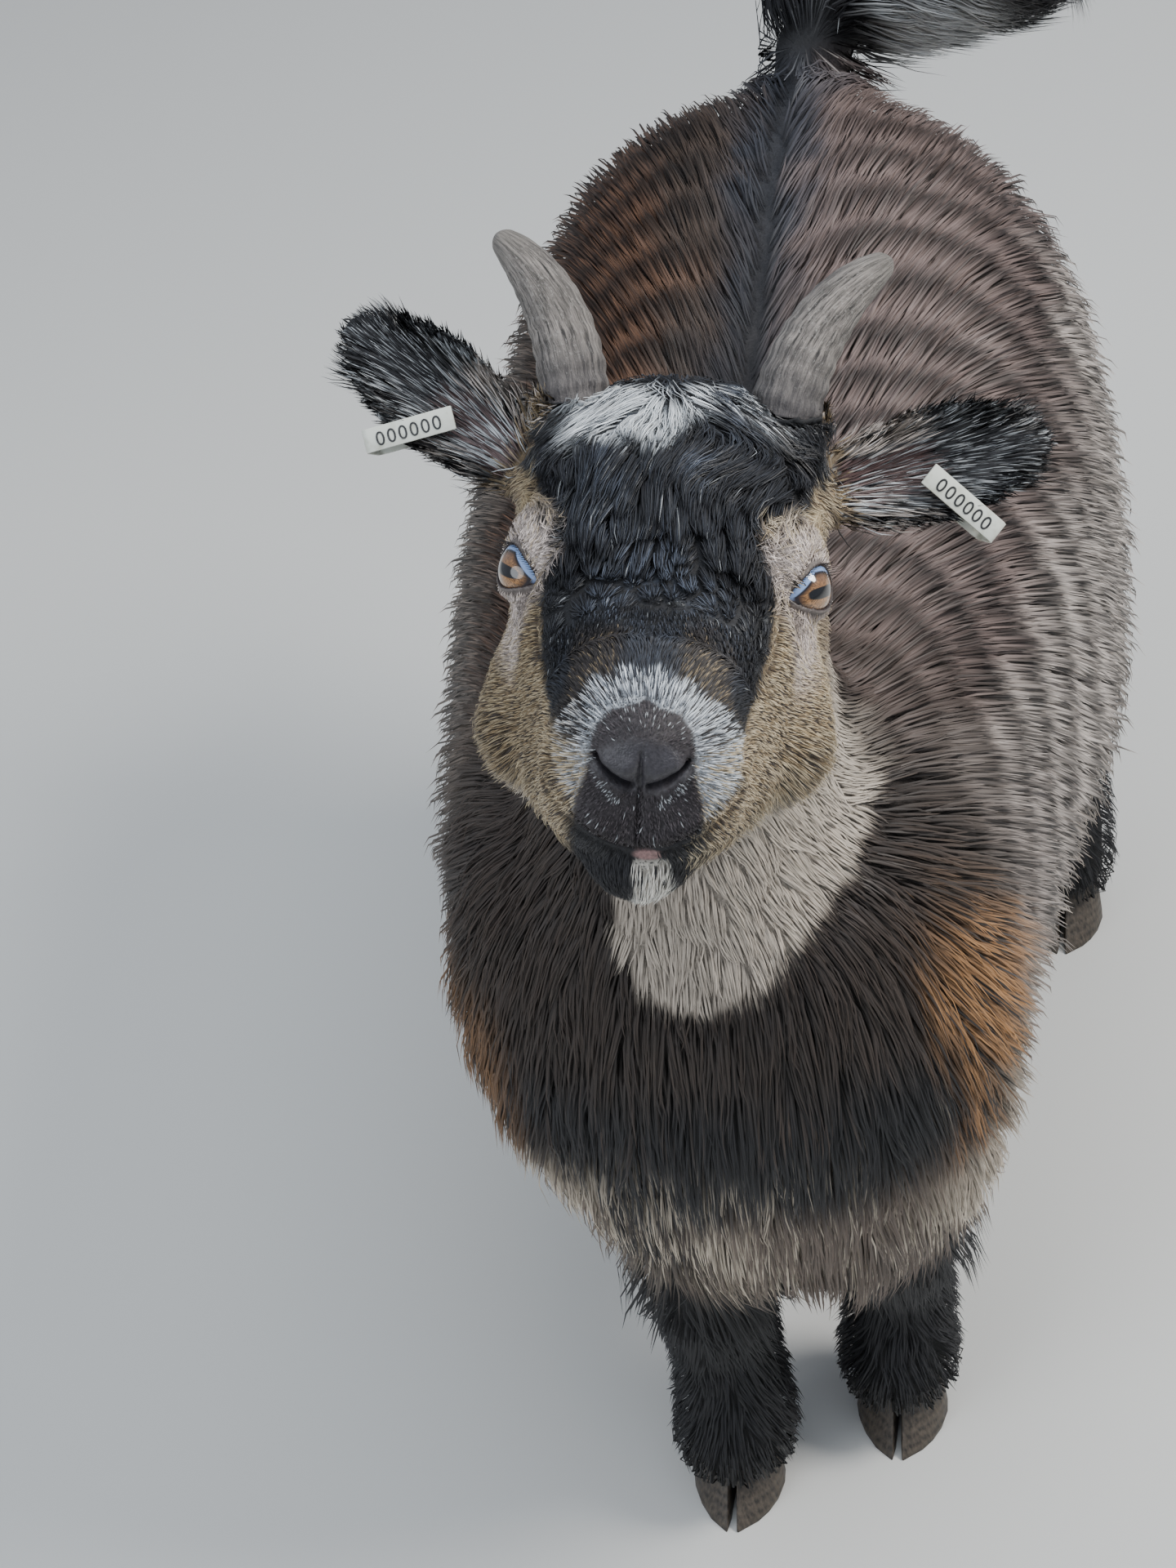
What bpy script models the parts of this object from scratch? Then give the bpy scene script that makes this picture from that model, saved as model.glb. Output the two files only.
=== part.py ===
"""A young pygmy goat at life size, standing still with its head raised and tilted.

The goat faces -Y, its left side is +X and its hooves stand on z = 0.  Every solid is the outer
shape of that part of the body, out to the tips of the coat.  The flesh is lofted from sections,
blended by a voxel remesh and then parted by thin cuts into head, neck, trunk, tail and legs.
"""

import math

import bmesh
import bpy
from mathutils import Matrix, Vector

# ---------------------------------------------------------------- driving dimensions, in metres
GAP = 0.0003  # between two solids that meet
EYE_HEIGHT = 0.53  # middle between the eyes
EYE_SPACING = 0.081  # between the centres of the eyeballs
EYE_RADIUS = 0.0122
EYE_GAZE = Vector((0.74, -0.60, 0.30)).normalized()  # of the left eye, in the head's axes
HEAD_PLACE = Vector((-0.0095, -0.0131, EYE_HEIGHT))
HEAD_YAW = math.radians(7.7)  # turned to the goat's left
HEAD_PITCH = math.radians(16.9)  # jaw line raised above level
HEAD_ROLL = math.radians(8.9)  # left eye lower than the right
HORN_LENGTH = 0.071
HORN_ROOT = Vector((0.0355, 0.048, 0.042))  # of the left horn, in the head's axes
EAR_LENGTH = 0.088
EAR_ROOT = Vector((0.0465, 0.050, 0.016))  # of the left ear, in the head's axes
HOOF_TOP = 0.028
FORE_FEET = {"right": (-0.035, 0.005), "left": (0.036, 0.050)}
HIND_FEET = {"right": (-0.090, 0.415), "left": (0.095, 0.380)}
TAG_SIZE = (0.033, 0.0082, 0.0012)  # length, width and thickness of an ear tag's strip
RIVET_RADIUS = 0.0017

RING = 28  # points round a lofted section
BODY_VOXEL = 0.0075
HEAD_VOXEL = 0.0034
BODY_TRIANGLES = 2350
HEAD_TRIANGLES = 1250

SIDES = {"right": -1, "left": 1}


def clear_scene():
    for obj in list(bpy.data.objects):
        bpy.data.objects.remove(obj)


# ---------------------------------------------------------------- materials
def material(name, colour, roughness):
    made = bpy.data.materials.new(name)
    made.use_nodes = True
    shader = made.node_tree.nodes["Principled BSDF"]
    shader.inputs["Base Color"].default_value = (*colour, 1)
    shader.inputs["Roughness"].default_value = roughness
    shader.inputs["Metallic"].default_value = 0
    return made


def make_materials():
    return {
        "coat_grey": material("coat_grey", (0.21, 0.17, 0.15), 0.8),
        "coat_black": material("coat_black", (0.02, 0.02, 0.025), 0.7),
        "coat_tan": material("coat_tan", (0.30, 0.24, 0.17), 0.8),
        "horn": material("horn", (0.26, 0.25, 0.24), 0.5),
        "eye": material("eye", (0.35, 0.18, 0.07), 0.1),
        "hoof": material("hoof", (0.05, 0.045, 0.04), 0.45),
        "tag": material("tag", (0.75, 0.76, 0.68), 0.4),
    }


# ---------------------------------------------------------------- mesh helpers
def object_of(name, mesh):
    obj = bpy.data.objects.new(name, mesh)
    bpy.context.scene.collection.objects.link(obj)
    return obj


def baked(obj, name):
    """A new object with obj's modifiers applied. obj is removed."""
    graph = bpy.context.evaluated_depsgraph_get()
    mesh = bpy.data.meshes.new_from_object(obj.evaluated_get(graph))
    mesh.transform(obj.matrix_world)
    bpy.data.objects.remove(obj)
    mesh.name = name
    return object_of(name, mesh)


def superellipse(turn, width, up, down, power):
    """A point at this share of a turn on a rounded section with its own height above and below."""
    c, s = math.cos(math.tau * turn), math.sin(math.tau * turn)
    x = width * math.copysign(abs(c) ** (2 / power), c)
    y = (up if s > 0 else down) * math.copysign(abs(s) ** (2 / power), s)
    return x, y


def loft(rings, name="loft"):
    """A closed mesh through rings of points, with a pole over each end."""
    bm = bmesh.new()
    rows = [[bm.verts.new(p) for p in ring] for ring in rings]
    count = len(rows[0])
    for low, high in zip(rows, rows[1:]):
        for i in range(count):
            j = (i + 1) % count
            bm.faces.new((low[i], low[j], high[j], high[i]))
    for row, turned in ((rows[0], True), (rows[-1], False)):
        pole = bm.verts.new(sum((v.co for v in row), Vector()) / count)
        for i in range(count):
            edge = (row[i], row[(i + 1) % count])
            bm.faces.new((*(reversed(edge) if turned else edge), pole))
    bmesh.ops.recalc_face_normals(bm, faces=bm.faces)
    mesh = bpy.data.meshes.new(name)
    bm.to_mesh(mesh)
    bm.free()
    return mesh


def smooth_rows(rows, per_span=3):
    """Rows of numbers joined by a smooth curve through them (Catmull-Rom)."""
    found = []
    for i in range(len(rows) - 1):
        before, after = rows[max(i - 1, 0)], rows[min(i + 2, len(rows) - 1)]
        here, there = rows[i], rows[i + 1]
        for k in range(per_span):
            t = k / per_span
            found.append(
                [
                    0.5 * (2 * b + (c - a) * t + (2 * a - 5 * b + 4 * c - d) * t * t
                           + (3 * b - a - 3 * c + d) * t ** 3)
                    for a, b, c, d in zip(before, here, there, after)
                ]
            )
    return found + [list(rows[-1])]


def limb(stations, power=2.0, forward=Vector((0, -1, 0)), name="limb"):
    """A tube along x, y, z, half width, half depth rows. Depth runs towards forward."""
    rows = smooth_rows(stations)
    rings = []
    for i, (x, y, z, width, depth) in enumerate(rows):
        ahead, behind = rows[min(i + 1, len(rows) - 1)], rows[max(i - 1, 0)]
        along = (Vector(ahead[:3]) - Vector(behind[:3])).normalized()
        side = forward.cross(along).normalized()
        front = along.cross(side).normalized()
        ring = []
        for k in range(RING):
            u, v = superellipse(k / RING, width, depth, depth, power)
            ring.append(Vector((x, y, z)) + side * u + front * v)
        rings.append(ring)
    return loft(rings, name)


def ball(place, radii, turn=None, name="ball"):
    """An ellipsoid."""
    bm = bmesh.new()
    bmesh.ops.create_icosphere(bm, subdivisions=3, radius=1)
    matrix = Matrix.Translation(place) @ (turn or Matrix()) @ Matrix.Diagonal((*radii, 1))
    bm.transform(matrix)
    mesh = bpy.data.meshes.new(name)
    bm.to_mesh(mesh)
    bm.free()
    return mesh


def blended(meshes, voxel, triangles, name, smoothing=6):
    """The meshes as one smooth closed skin of about this many triangles."""
    bm = bmesh.new()
    for mesh in meshes:
        bm.from_mesh(mesh)
    joined = bpy.data.meshes.new(name)
    bm.to_mesh(joined)
    bm.free()
    obj = object_of(name, joined)
    remesh = obj.modifiers.new("Remesh", "REMESH")
    remesh.mode = "VOXEL"
    remesh.voxel_size = voxel
    smooth = obj.modifiers.new("Smooth", "SMOOTH")
    smooth.factor = 0.5
    smooth.iterations = smoothing
    obj = baked(obj, name)
    faces = sum(len(p.vertices) - 2 for p in obj.data.polygons)
    thin = obj.modifiers.new("Decimate", "DECIMATE")
    thin.ratio = min(1, triangles / faces)
    thin.use_collapse_triangulate = True
    return baked(obj, name)


def boolean(obj, other, operation, name):
    """obj with other cut away, kept or joined. obj is replaced, and other stays."""
    cut = obj.modifiers.new("Cut", "BOOLEAN")
    cut.operation = operation
    cut.solver = "EXACT"
    cut.object = other
    return baked(obj, name)


def grown(mesh, by):
    """A copy whose surface stands out by this much."""
    copy = mesh.copy()
    normals = [v.normal.copy() for v in copy.vertices]
    for vertex, normal in zip(copy.vertices, normals):
        vertex.co += normal * by
    return copy


def copy_of(obj, name):
    return object_of(name, obj.data.copy())


def block(corners_low, corners_high, turn=None, pivot=Vector()):
    """A box between two corners, turned about pivot."""
    bm = bmesh.new()
    bmesh.ops.create_cube(bm, size=1)
    low, high = Vector(corners_low), Vector(corners_high)
    size = high - low
    bm.transform(Matrix.Translation((low + high) / 2) @ Matrix.Diagonal((*size, 1)))
    if turn:
        bm.transform(Matrix.Translation(pivot) @ turn @ Matrix.Translation(-pivot))
    mesh = bpy.data.meshes.new("block")
    bm.to_mesh(mesh)
    bm.free()
    return mesh


# ---------------------------------------------------------------- head frame
# x to the goat's left, y backwards along the jaw line, z up through the forehead
HEAD = (
    Matrix.Translation(HEAD_PLACE)
    @ Matrix.Rotation(HEAD_YAW, 4, "Z")
    @ Matrix.Rotation(-HEAD_PITCH, 4, "X")
    @ Matrix.Rotation(HEAD_ROLL, 4, "Y")
)
HEAD_TURN = HEAD.to_3x3().to_4x4()


def on_head(x, forward, z):
    """A point given by how far it lies to the left, towards the nose and up."""
    return HEAD @ Vector((x, -forward, z))


# ---------------------------------------------------------------- flesh
def spine_x(z):
    """The body leans to the goat's right over its feet, most of all along the back."""
    return -0.027 + 0.09 * (0.43 - z)


# y, top, bottom, half width
TRUNK = [
    (-0.062, 0.345, 0.270, 0.030),
    (-0.050, 0.378, 0.228, 0.068),
    (-0.028, 0.402, 0.180, 0.096),
    (0.010, 0.422, 0.152, 0.113),
    (0.065, 0.436, 0.145, 0.120),
    (0.130, 0.440, 0.144, 0.131),
    (0.205, 0.441, 0.138, 0.147),
    (0.280, 0.453, 0.142, 0.149),
    (0.345, 0.470, 0.165, 0.143),
    (0.400, 0.481, 0.200, 0.131),
    (0.442, 0.478, 0.245, 0.112),
    (0.475, 0.456, 0.285, 0.078),
    (0.494, 0.420, 0.325, 0.040),
]
TRUNK_WIDEST = 0.54  # share of the height, from the belly, at which the barrel is widest


def trunk():
    rings = []
    for y, top, bottom, width in smooth_rows(TRUNK):
        middle = bottom + (top - bottom) * TRUNK_WIDEST
        ring = []
        for k in range(RING):
            power = 2.3 if 2 * k <= RING else 2.25 - 3.4 * min(0.17, max(0, y))
            u, v = superellipse(k / RING, width, top - middle, middle - bottom, power)
            ring.append(Vector((spine_x(middle + v) + u, y, middle + v)))
        rings.append(ring)
    return loft(rings, "trunk")


def neck():
    stations = [
        (-0.025, 0.050, 0.300, 0.088, 0.100),
        (-0.024, 0.036, 0.350, 0.082, 0.094),
        (-0.021, 0.030, 0.400, 0.071, 0.080),
        (-0.017, 0.030, 0.450, 0.060, 0.066),
        (-0.013, 0.034, 0.495, 0.050, 0.054),
    ]
    return limb(stations, 2.1, name="neck")


def leg_row(top, foot, share, y, z, width, depth):
    """A station of a leg whose x goes from that of its top to that of its foot by this share."""
    return (top + (foot - top) * share, y, z, width, depth)


def fore_leg(side):
    sign = SIDES[side]
    fx, fy = FORE_FEET[side]
    top, knee = spine_x(0.26) + sign * 0.060, fy + 0.006
    rows = [
        leg_row(top, fx, 0.00, 0.040, 0.290, 0.040, 0.058),
        leg_row(top, fx, 0.30, 0.035 + 0.10 * fy, 0.235, 0.038, 0.050),
        leg_row(top, fx, 0.75, 0.015 + 0.50 * fy, 0.180, 0.031, 0.038),
        leg_row(top, fx, 0.88, 0.75 * knee, 0.132, 0.0270, 0.0300),
        leg_row(top, fx, 0.96, knee, 0.092, 0.0235, 0.0255),
        leg_row(top, fx, 1.00, fy + 0.002, 0.058, 0.0265, 0.0290),
        leg_row(top, fx, 1.00, fy - 0.006, 0.034, 0.0285, 0.0325),
        leg_row(top, fx, 1.00, fy - 0.009, 0.020, 0.0290, 0.0335),
    ]
    return limb(rows, 2.15, name="fore_leg")


def hind_leg(side):
    sign = SIDES[side]
    fx, fy = HIND_FEET[side]
    top = spine_x(0.3) + sign * 0.074
    rows = [
        leg_row(top, fx, 0.00, 0.392, 0.370, 0.052, 0.086),
        leg_row(top, fx, 0.10, 0.386, 0.300, 0.054, 0.083),
        leg_row(top, fx, 0.20, 0.30 * fy + 0.277, 0.245, 0.047, 0.064),
        leg_row(top, fx, 0.40, 0.55 * fy + 0.194, 0.195, 0.036, 0.046),
        leg_row(top, fx, 0.65, fy + 0.038, 0.150, 0.028, 0.036),
        leg_row(top, fx, 0.88, fy + 0.030, 0.105, 0.0245, 0.0275),
        leg_row(top, fx, 1.00, fy + 0.012, 0.060, 0.0260, 0.0290),
        leg_row(top, fx, 1.00, fy - 0.002, 0.034, 0.0280, 0.0320),
        leg_row(top, fx, 1.00, fy - 0.006, 0.020, 0.0285, 0.0330),
    ]
    return limb(rows, 2.15, name="hind_leg")


def tail():
    rows = [
        (-0.027, 0.432, 0.440, 0.028, 0.026),
        (-0.026, 0.468, 0.464, 0.029, 0.025),
        (-0.012, 0.489, 0.484, 0.029, 0.025),
        (0.018, 0.498, 0.498, 0.028, 0.024),
        (0.048, 0.496, 0.506, 0.025, 0.022),
        (0.078, 0.490, 0.508, 0.017, 0.015),
        (0.096, 0.486, 0.507, 0.006, 0.005),
    ]
    return limb(rows, 2.0, forward=Vector((0, -0.6, 0.8)), name="tail")


def body_flesh():
    parts = [trunk(), neck(), tail()]
    for side in SIDES:
        parts += [fore_leg(side), hind_leg(side)]
    return blended(parts, BODY_VOXEL, BODY_TRIANGLES, "body_flesh", smoothing=16)


# Sections of the skull and jaw along the head: forward, top, bottom, half width
SKULL = [
    (-0.086, 0.026, -0.005, 0.018),
    (-0.076, 0.040, -0.030, 0.038),
    (-0.058, 0.049, -0.048, 0.049),
    (-0.034, 0.049, -0.060, 0.0525),
    (-0.010, 0.042, -0.066, 0.0520),
    (0.014, 0.032, -0.069, 0.0495),
    (0.036, 0.021, -0.069, 0.0445),
    (0.058, 0.011, -0.067, 0.0370),
    (0.078, 0.004, -0.065, 0.0315),
    (0.093, -0.002, -0.057, 0.0275),
    (0.102, -0.009, -0.047, 0.0200),
]


def skull():
    rings = []
    for y, top, bottom, width in smooth_rows(SKULL):
        middle = (top + bottom) / 2
        ring = []
        for k in range(RING):
            u, v = superellipse(k / RING, width, top - middle, middle - bottom, 2.5)
            ring.append(on_head(u, y, middle + v))
        rings.append(ring)
    return loft(rings, "skull")


def head_flesh():
    turn = HEAD_TURN
    parts = [skull()]
    for sign in SIDES.values():
        parts += [
            ball(on_head(sign * 0.0400, 0.000, 0.006), (0.0150, 0.023, 0.019), turn),  # orbit
            ball(on_head(sign * 0.0290, 0.000, -0.042), (0.0300, 0.042, 0.030), turn),  # cheek
            ball(on_head(sign * 0.0150, 0.076, -0.032), (0.0180, 0.026, 0.022), turn),  # lip
            ball(on_head(sign * 0.0350, -0.050, 0.040), (0.0165, 0.018, 0.018), turn),  # horn root
            ball(on_head(sign * 0.0440, -0.050, 0.014), (0.0130, 0.015, 0.016), turn),  # ear root
        ]
    parts += [
        ball(on_head(0, 0.090, -0.016), (0.0165, 0.017, 0.015), turn),  # nose
        ball(on_head(0, 0.073, -0.060), (0.0185, 0.027, 0.015), turn),  # chin
        ball(on_head(0, -0.046, 0.038), (0.034, 0.028, 0.019), turn),  # poll
    ]
    return blended(parts, HEAD_VOXEL, HEAD_TRIANGLES, "head_flesh", smoothing=8)


# ---------------------------------------------------------------- horns, ears, eyes, tags, hooves
HORN_STEPS = 11
HORN_RING = 14
HORN_LEAN = (5, 51)  # degrees outwards from straight up, at the root and at the tip
HORN_BACK = (22, 56)  # degrees backwards, at the root and at the tip
HORN_TIP_RADIUS = 0.0024
HORN_ROOT_RADIUS = 0.0122
HORN_DEEPER = (1.16, 1.12)  # depth over width, in front of the middle and behind it


def between(ends, t):
    return ends[0] + (ends[1] - ends[0]) * t


def horn(side):
    """A horn that rises from the poll and curves back and outwards."""
    sign = SIDES[side]
    rings = []
    place = Vector((sign * HORN_ROOT.x, HORN_ROOT.y, HORN_ROOT.z))
    for i in range(HORN_STEPS + 1):
        t = i / HORN_STEPS
        lean = math.radians(between(HORN_LEAN, t))
        back = math.radians(between(HORN_BACK, t))
        upright = math.cos(lean)
        along = Vector(
            (sign * math.sin(lean), upright * math.sin(back), upright * math.cos(back))
        )
        side_way = along.cross(Vector((0, 1, 0))).normalized()
        front = side_way.cross(along).normalized()
        taper = (1 - t ** 1.9) ** 0.62 if t < 1 else 0
        radius = HORN_TIP_RADIUS + (HORN_ROOT_RADIUS - HORN_TIP_RADIUS) * taper
        if i in (0, HORN_STEPS):
            radius *= 0.80
        depth_front, depth_back = (radius * share for share in HORN_DEEPER)
        ring = []
        for k in range(HORN_RING):
            u, v = superellipse(k / HORN_RING, radius, depth_front, depth_back, 2.0)
            point = place + side_way * u + front * v
            ring.append(HEAD @ point)
        rings.append(ring)
        place = place + along * (HORN_LENGTH / HORN_STEPS)
    return loft(rings, f"horn_{side}")


EAR_AIM = {"right": (29, -18), "left": (12, -18)}  # degrees up from level, and forward
EAR_TURN = 12  # degrees that the hollow side tips towards the ground


def ear_frame(side):
    """x along the ear to its tip, y across it, z out of its hollow side."""
    sign = SIDES[side]
    up, ahead = (math.radians(a) for a in EAR_AIM[side])
    along = Vector((sign * math.cos(up) * math.cos(ahead), -math.sin(ahead), math.sin(up)))
    along.normalize()
    hollow = Vector((0, -1, 0)) + along * along.y
    hollow.normalize()
    hollow = Matrix.Rotation(math.radians(EAR_TURN) * -sign, 3, along) @ hollow
    across = hollow.cross(along)
    local = Matrix((along, across, hollow)).transposed().to_4x4()
    local.translation = Vector((sign * EAR_ROOT.x, EAR_ROOT.y, EAR_ROOT.z))
    return HEAD @ local


# Share of the length, half width, depth of the hollow, thickness
EAR = [
    (0.00, 0.0110, 0.0010, 0.0150),
    (0.12, 0.0130, 0.0040, 0.0110),
    (0.28, 0.0170, 0.0085, 0.0075),
    (0.46, 0.0205, 0.0095, 0.0062),
    (0.64, 0.0200, 0.0080, 0.0056),
    (0.80, 0.0160, 0.0055, 0.0052),
    (0.92, 0.0100, 0.0028, 0.0046),
    (1.00, 0.0030, 0.0010, 0.0036),
]
EAR_POINTS = 7  # across the leaf, on each face


def ear_section(width, hollow, thick):
    """Points round a cupped leaf: along its back, then along its hollow face."""
    back, front = [], []
    for k in range(EAR_POINTS):
        s = -1 + 2 * k / (EAR_POINTS - 1)
        edge = math.sqrt(max(0, 1 - abs(s) ** 3)) * 0.75 + 0.25
        level = -hollow * (1 - s * s)
        back.append((width * s, level - thick / 2 * edge))
        front.append((width * s, level + thick / 2 * edge))
    return back + front[::-1]


def ear(side):
    frame = ear_frame(side)
    rings = []
    for share, width, hollow, thick in smooth_rows(EAR, 2):
        section = ear_section(width, hollow, thick)
        rings.append([frame @ Vector((share * EAR_LENGTH, y, z)) for y, z in section])
    return loft(rings, f"ear_{side}")


# Of the rivet: how far along the ear, and from its middle line towards its lower edge
TAG_PLACE = {"right": (0.046, 0.015), "left": (0.051, 0.015)}
TAG_SLANT = 38  # degrees that the strip leans from straight across towards the tip
TAG_FRONT, TAG_BACK = 0.0034, -0.0118  # levels of its two inner faces, out of the hollow side


def strip_path(length, corner=0.002):
    """Across the ear's front, round its lower edge and back behind it, as y and z."""
    near, far, short = -length / 2, length / 2, -length / 5
    path = [(near, TAG_FRONT), (0, TAG_FRONT)]
    for centre_z, first in ((TAG_FRONT - corner, 90), (TAG_BACK + corner, 0)):
        for k in range(4):
            turn = math.radians(first - 30 * k)
            y = far - corner + corner * math.cos(turn)
            path.append((y, centre_z + corner * math.sin(turn)))
    return path + [(0.001, TAG_BACK), (short, TAG_BACK)]


def tag(side):
    """A strip folded round the ear's lower edge, with a rivet through the ear."""
    length, width, thick = TAG_SIZE
    lower = -SIDES[side]  # the side of the ear's own y axis on which its lower edge lies
    slant = Matrix.Rotation(math.radians(TAG_SLANT) * -lower, 4, "Z")
    along, down = TAG_PLACE[side]
    place = ear_frame(side) @ Matrix.Translation((along, lower * down, 0)) @ slant
    path = strip_path(length)
    rings = []
    for i, (y, z) in enumerate(path):
        before, after = path[max(i - 1, 0)], path[min(i + 1, len(path) - 1)]
        run = Vector((after[0] - before[0], after[1] - before[1])).normalized()
        out = Vector((-run.y, run.x)) * thick / 2
        ring = []
        for x, way in ((-1, 1), (1, 1), (1, -1), (-1, -1)):
            corner = (x * width / 2, lower * (y + way * out.x), z + way * out.y)
            ring.append(place @ Vector(corner))
        rings.append(ring)
    strip = object_of("strip", loft(rings, "strip"))
    rivet = []
    for z in (TAG_BACK, TAG_FRONT):
        turns = [math.tau * k / 12 for k in range(12)]
        circle = [(RIVET_RADIUS * math.cos(t), RIVET_RADIUS * math.sin(t)) for t in turns]
        rivet.append([place @ Vector((x, y, z)) for x, y in circle])
    pin = object_of("pin", loft(rivet, "pin"))
    made = boolean(strip, pin, "UNION", f"tag_{side}")
    bpy.data.objects.remove(pin)
    return made


def eye_place(sign):
    return on_head(sign * EYE_SPACING / 2, 0, 0)


def eye_opening(sign):
    """The almond between the lids, cut out of the head in front of the eyeball."""
    gaze = HEAD_TURN.to_3x3() @ Vector((sign * EYE_GAZE.x, EYE_GAZE.y, EYE_GAZE.z))
    level = HEAD_TURN.to_3x3() @ Vector((sign * EYE_GAZE.y, -EYE_GAZE.x, 0)).normalized()
    turn = Matrix((level, gaze.cross(level), gaze)).transposed().to_4x4()
    return ball(eye_place(sign) + gaze * 0.0125, (0.0118, 0.0088, 0.0085), turn, "opening")


TOE, HEEL = (-0.040, -0.020), (0.013, 0.010)  # from the foot's middle, at the sole and the top
CLAW_WIDTH = (0.0205, 0.0170)  # at the sole and the top
CLAW_SPLIT = 0.0012  # from the foot's middle to the claw's inner face


def claw(foot, sign):
    """One of a foot's two hooves: flat below, pointed in front, with a sloping front wall."""
    fx, fy = foot
    rings = []
    for share in (0, 0.12, 0.5, 1):
        toe, heel = fy + between(TOE, share), fy + between(HEEL, share)
        width = between(CLAW_WIDTH, share) * (0.93 if share == 0 else 1)
        edge = []
        for k in range(9):
            along = k / 8
            bulge = math.sin(math.pi * along ** 1.1) ** 0.6 if 0 < k < 8 else 0.05
            edge.append((width * bulge, toe + (heel - toe) * along))
        inner = [(0, y) for _, y in edge[-2:0:-2]]
        z = share * (HOOF_TOP - GAP)
        rings.append([Vector((fx + sign * (CLAW_SPLIT + x), y, z)) for x, y in edge + inner])
    return loft(rings, "hoof")


# ---------------------------------------------------------------- parting the flesh
LEGS_PART = -0.004  # x of the plane that keeps the left legs from the right ones
FAR = 0.9  # past the end of the goat on every side
FORE_CUT = 0.141  # height at which a fore leg leaves the trunk
# y and z of a point in each sloping cut, and degrees that the cut tips up towards the front
HIND_CUT = (0.360, 0.205, 28)
TAIL_CUT = (0.471, 0.474, -38)
HEAD_CUT = (0.060, 0.478, 22)
NECK_CUT = (0.045, 0.405, 28)
HALF_GAP = 0.0002  # from the middle plane to a leg's block, under half of a parting cut


def beyond(cut, low, high):
    """The block between two corners, given as if the cut were level, tipped about its point."""
    y, z, degrees = cut
    return block(low, high, Matrix.Rotation(math.radians(degrees), 4, "X"), Vector((0, y, z)))


def regions():
    """Node name and the block that holds that part of the flesh, cut off in this order."""
    found = {}
    for side, sign in SIDES.items():
        low_x, high_x = sorted((LEGS_PART + sign * HALF_GAP, sign * 0.3))
        found[f"leg_fore_{side}"] = block((low_x, -0.11, -0.1), (high_x, 0.085, FORE_CUT))
        hind = beyond(HIND_CUT, (low_x, 0.240, -0.3), (high_x, FAR, HIND_CUT[1]))
        found[f"leg_hind_{side}"] = hind
    found["tail"] = beyond(TAIL_CUT, (-0.2, 0.32, TAIL_CUT[1]), (0.3, FAR, FAR))
    for name, cut in (("head", HEAD_CUT), ("neck", NECK_CUT)):
        found[name] = beyond(cut, (-0.5, -0.5, cut[1]), (0.5, 0.5, FAR))
    return found


def part_flesh(whole):
    """The whole animal's flesh as one object for each region, and the trunk that is left."""
    made = {}
    for name, mesh in regions().items():
        keep = object_of("keep", mesh)
        away = object_of("away", grown(mesh, GAP * 1.8))
        made[name] = boolean(copy_of(whole, name), keep, "INTERSECT", name)
        whole = boolean(whole, away, "DIFFERENCE", "whole")
        bpy.data.objects.remove(keep)
        bpy.data.objects.remove(away)
    whole.name = "trunk"
    made["trunk"] = whole
    return made


def cut_from(obj, mesh, by=GAP):
    cutter = object_of("cutter", grown(mesh, by))
    name = obj.name
    obj = boolean(obj, cutter, "DIFFERENCE", name)
    obj.name = name
    bpy.data.objects.remove(cutter)
    return obj


def stand_on_origin(nodes):
    """Moves every node so that the middle of the whole box's bottom is at the origin."""
    points = [v.co for obj in nodes.values() for v in obj.data.vertices]
    low = Vector([min(p[k] for p in points) for k in range(3)])
    high = Vector([max(p[k] for p in points) for k in range(3)])
    shift = Vector((-(low.x + high.x) / 2, -(low.y + high.y) / 2, -low.z))
    for obj in nodes.values():
        obj.data.transform(Matrix.Translation(shift))


SLOT_OF = {
    "head": "coat_tan",
    "neck": "coat_grey",
    "trunk": "coat_grey",
    "tail": "coat_black",
    "leg": "coat_black",
    "ear": "coat_black",
    "horn": "horn",
    "eye": "eye",
    "hoof": "hoof",
    "tag": "tag",
}


def main():
    clear_scene()
    materials = make_materials()
    body, head = body_flesh(), head_flesh()
    whole = boolean(body, head, "UNION", "whole")
    bpy.data.objects.remove(head)
    nodes = part_flesh(whole)
    for foot, feet in (("fore", FORE_FEET), ("hind", HIND_FEET)):
        for side, place in feet.items():
            leg = f"leg_{foot}_{side}"
            floor = object_of("floor", block((-1, -1, -1), (1, 1, HOOF_TOP)))
            nodes[leg] = boolean(nodes[leg], floor, "DIFFERENCE", leg)
            bpy.data.objects.remove(floor)
            for half, sign in (("inner", -SIDES[side]), ("outer", SIDES[side])):
                name = f"hoof_{foot}_{side}_{half}"
                nodes[name] = object_of(name, claw(place, sign))
    for side, sign in SIDES.items():
        eye_mesh = ball(eye_place(sign), (EYE_RADIUS,) * 3, HEAD_TURN, f"eye_{side}")
        horn_mesh, ear_mesh = horn(side), ear(side)
        nodes["head"] = cut_from(nodes["head"], eye_mesh)
        nodes["head"] = cut_from(nodes["head"], horn_mesh)
        nodes["head"] = cut_from(nodes["head"], ear_mesh, 2 * GAP)
        nodes["head"] = cut_from(nodes["head"], eye_opening(sign))
        nodes[f"eye_{side}"] = object_of(f"eye_{side}", eye_mesh)
        nodes[f"horn_{side}"] = object_of(f"horn_{side}", horn_mesh)
        nodes[f"tag_{side}"] = tag(side)
        leaf, clip = object_of(f"ear_{side}", ear_mesh), nodes[f"tag_{side}"].data
        nodes[f"ear_{side}"] = cut_from(leaf, clip)
    stand_on_origin(nodes)
    for name, obj in nodes.items():
        obj.name = name
        obj.data.name = name
        obj.data.materials.clear()
        obj.data.materials.append(materials[SLOT_OF[name.split("_")[0]]])
        if name.split("_")[0] not in ("hoof", "tag"):
            obj.data.shade_smooth()
            obj.data.set_sharp_from_angle(angle=math.radians(40))


main()
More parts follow.
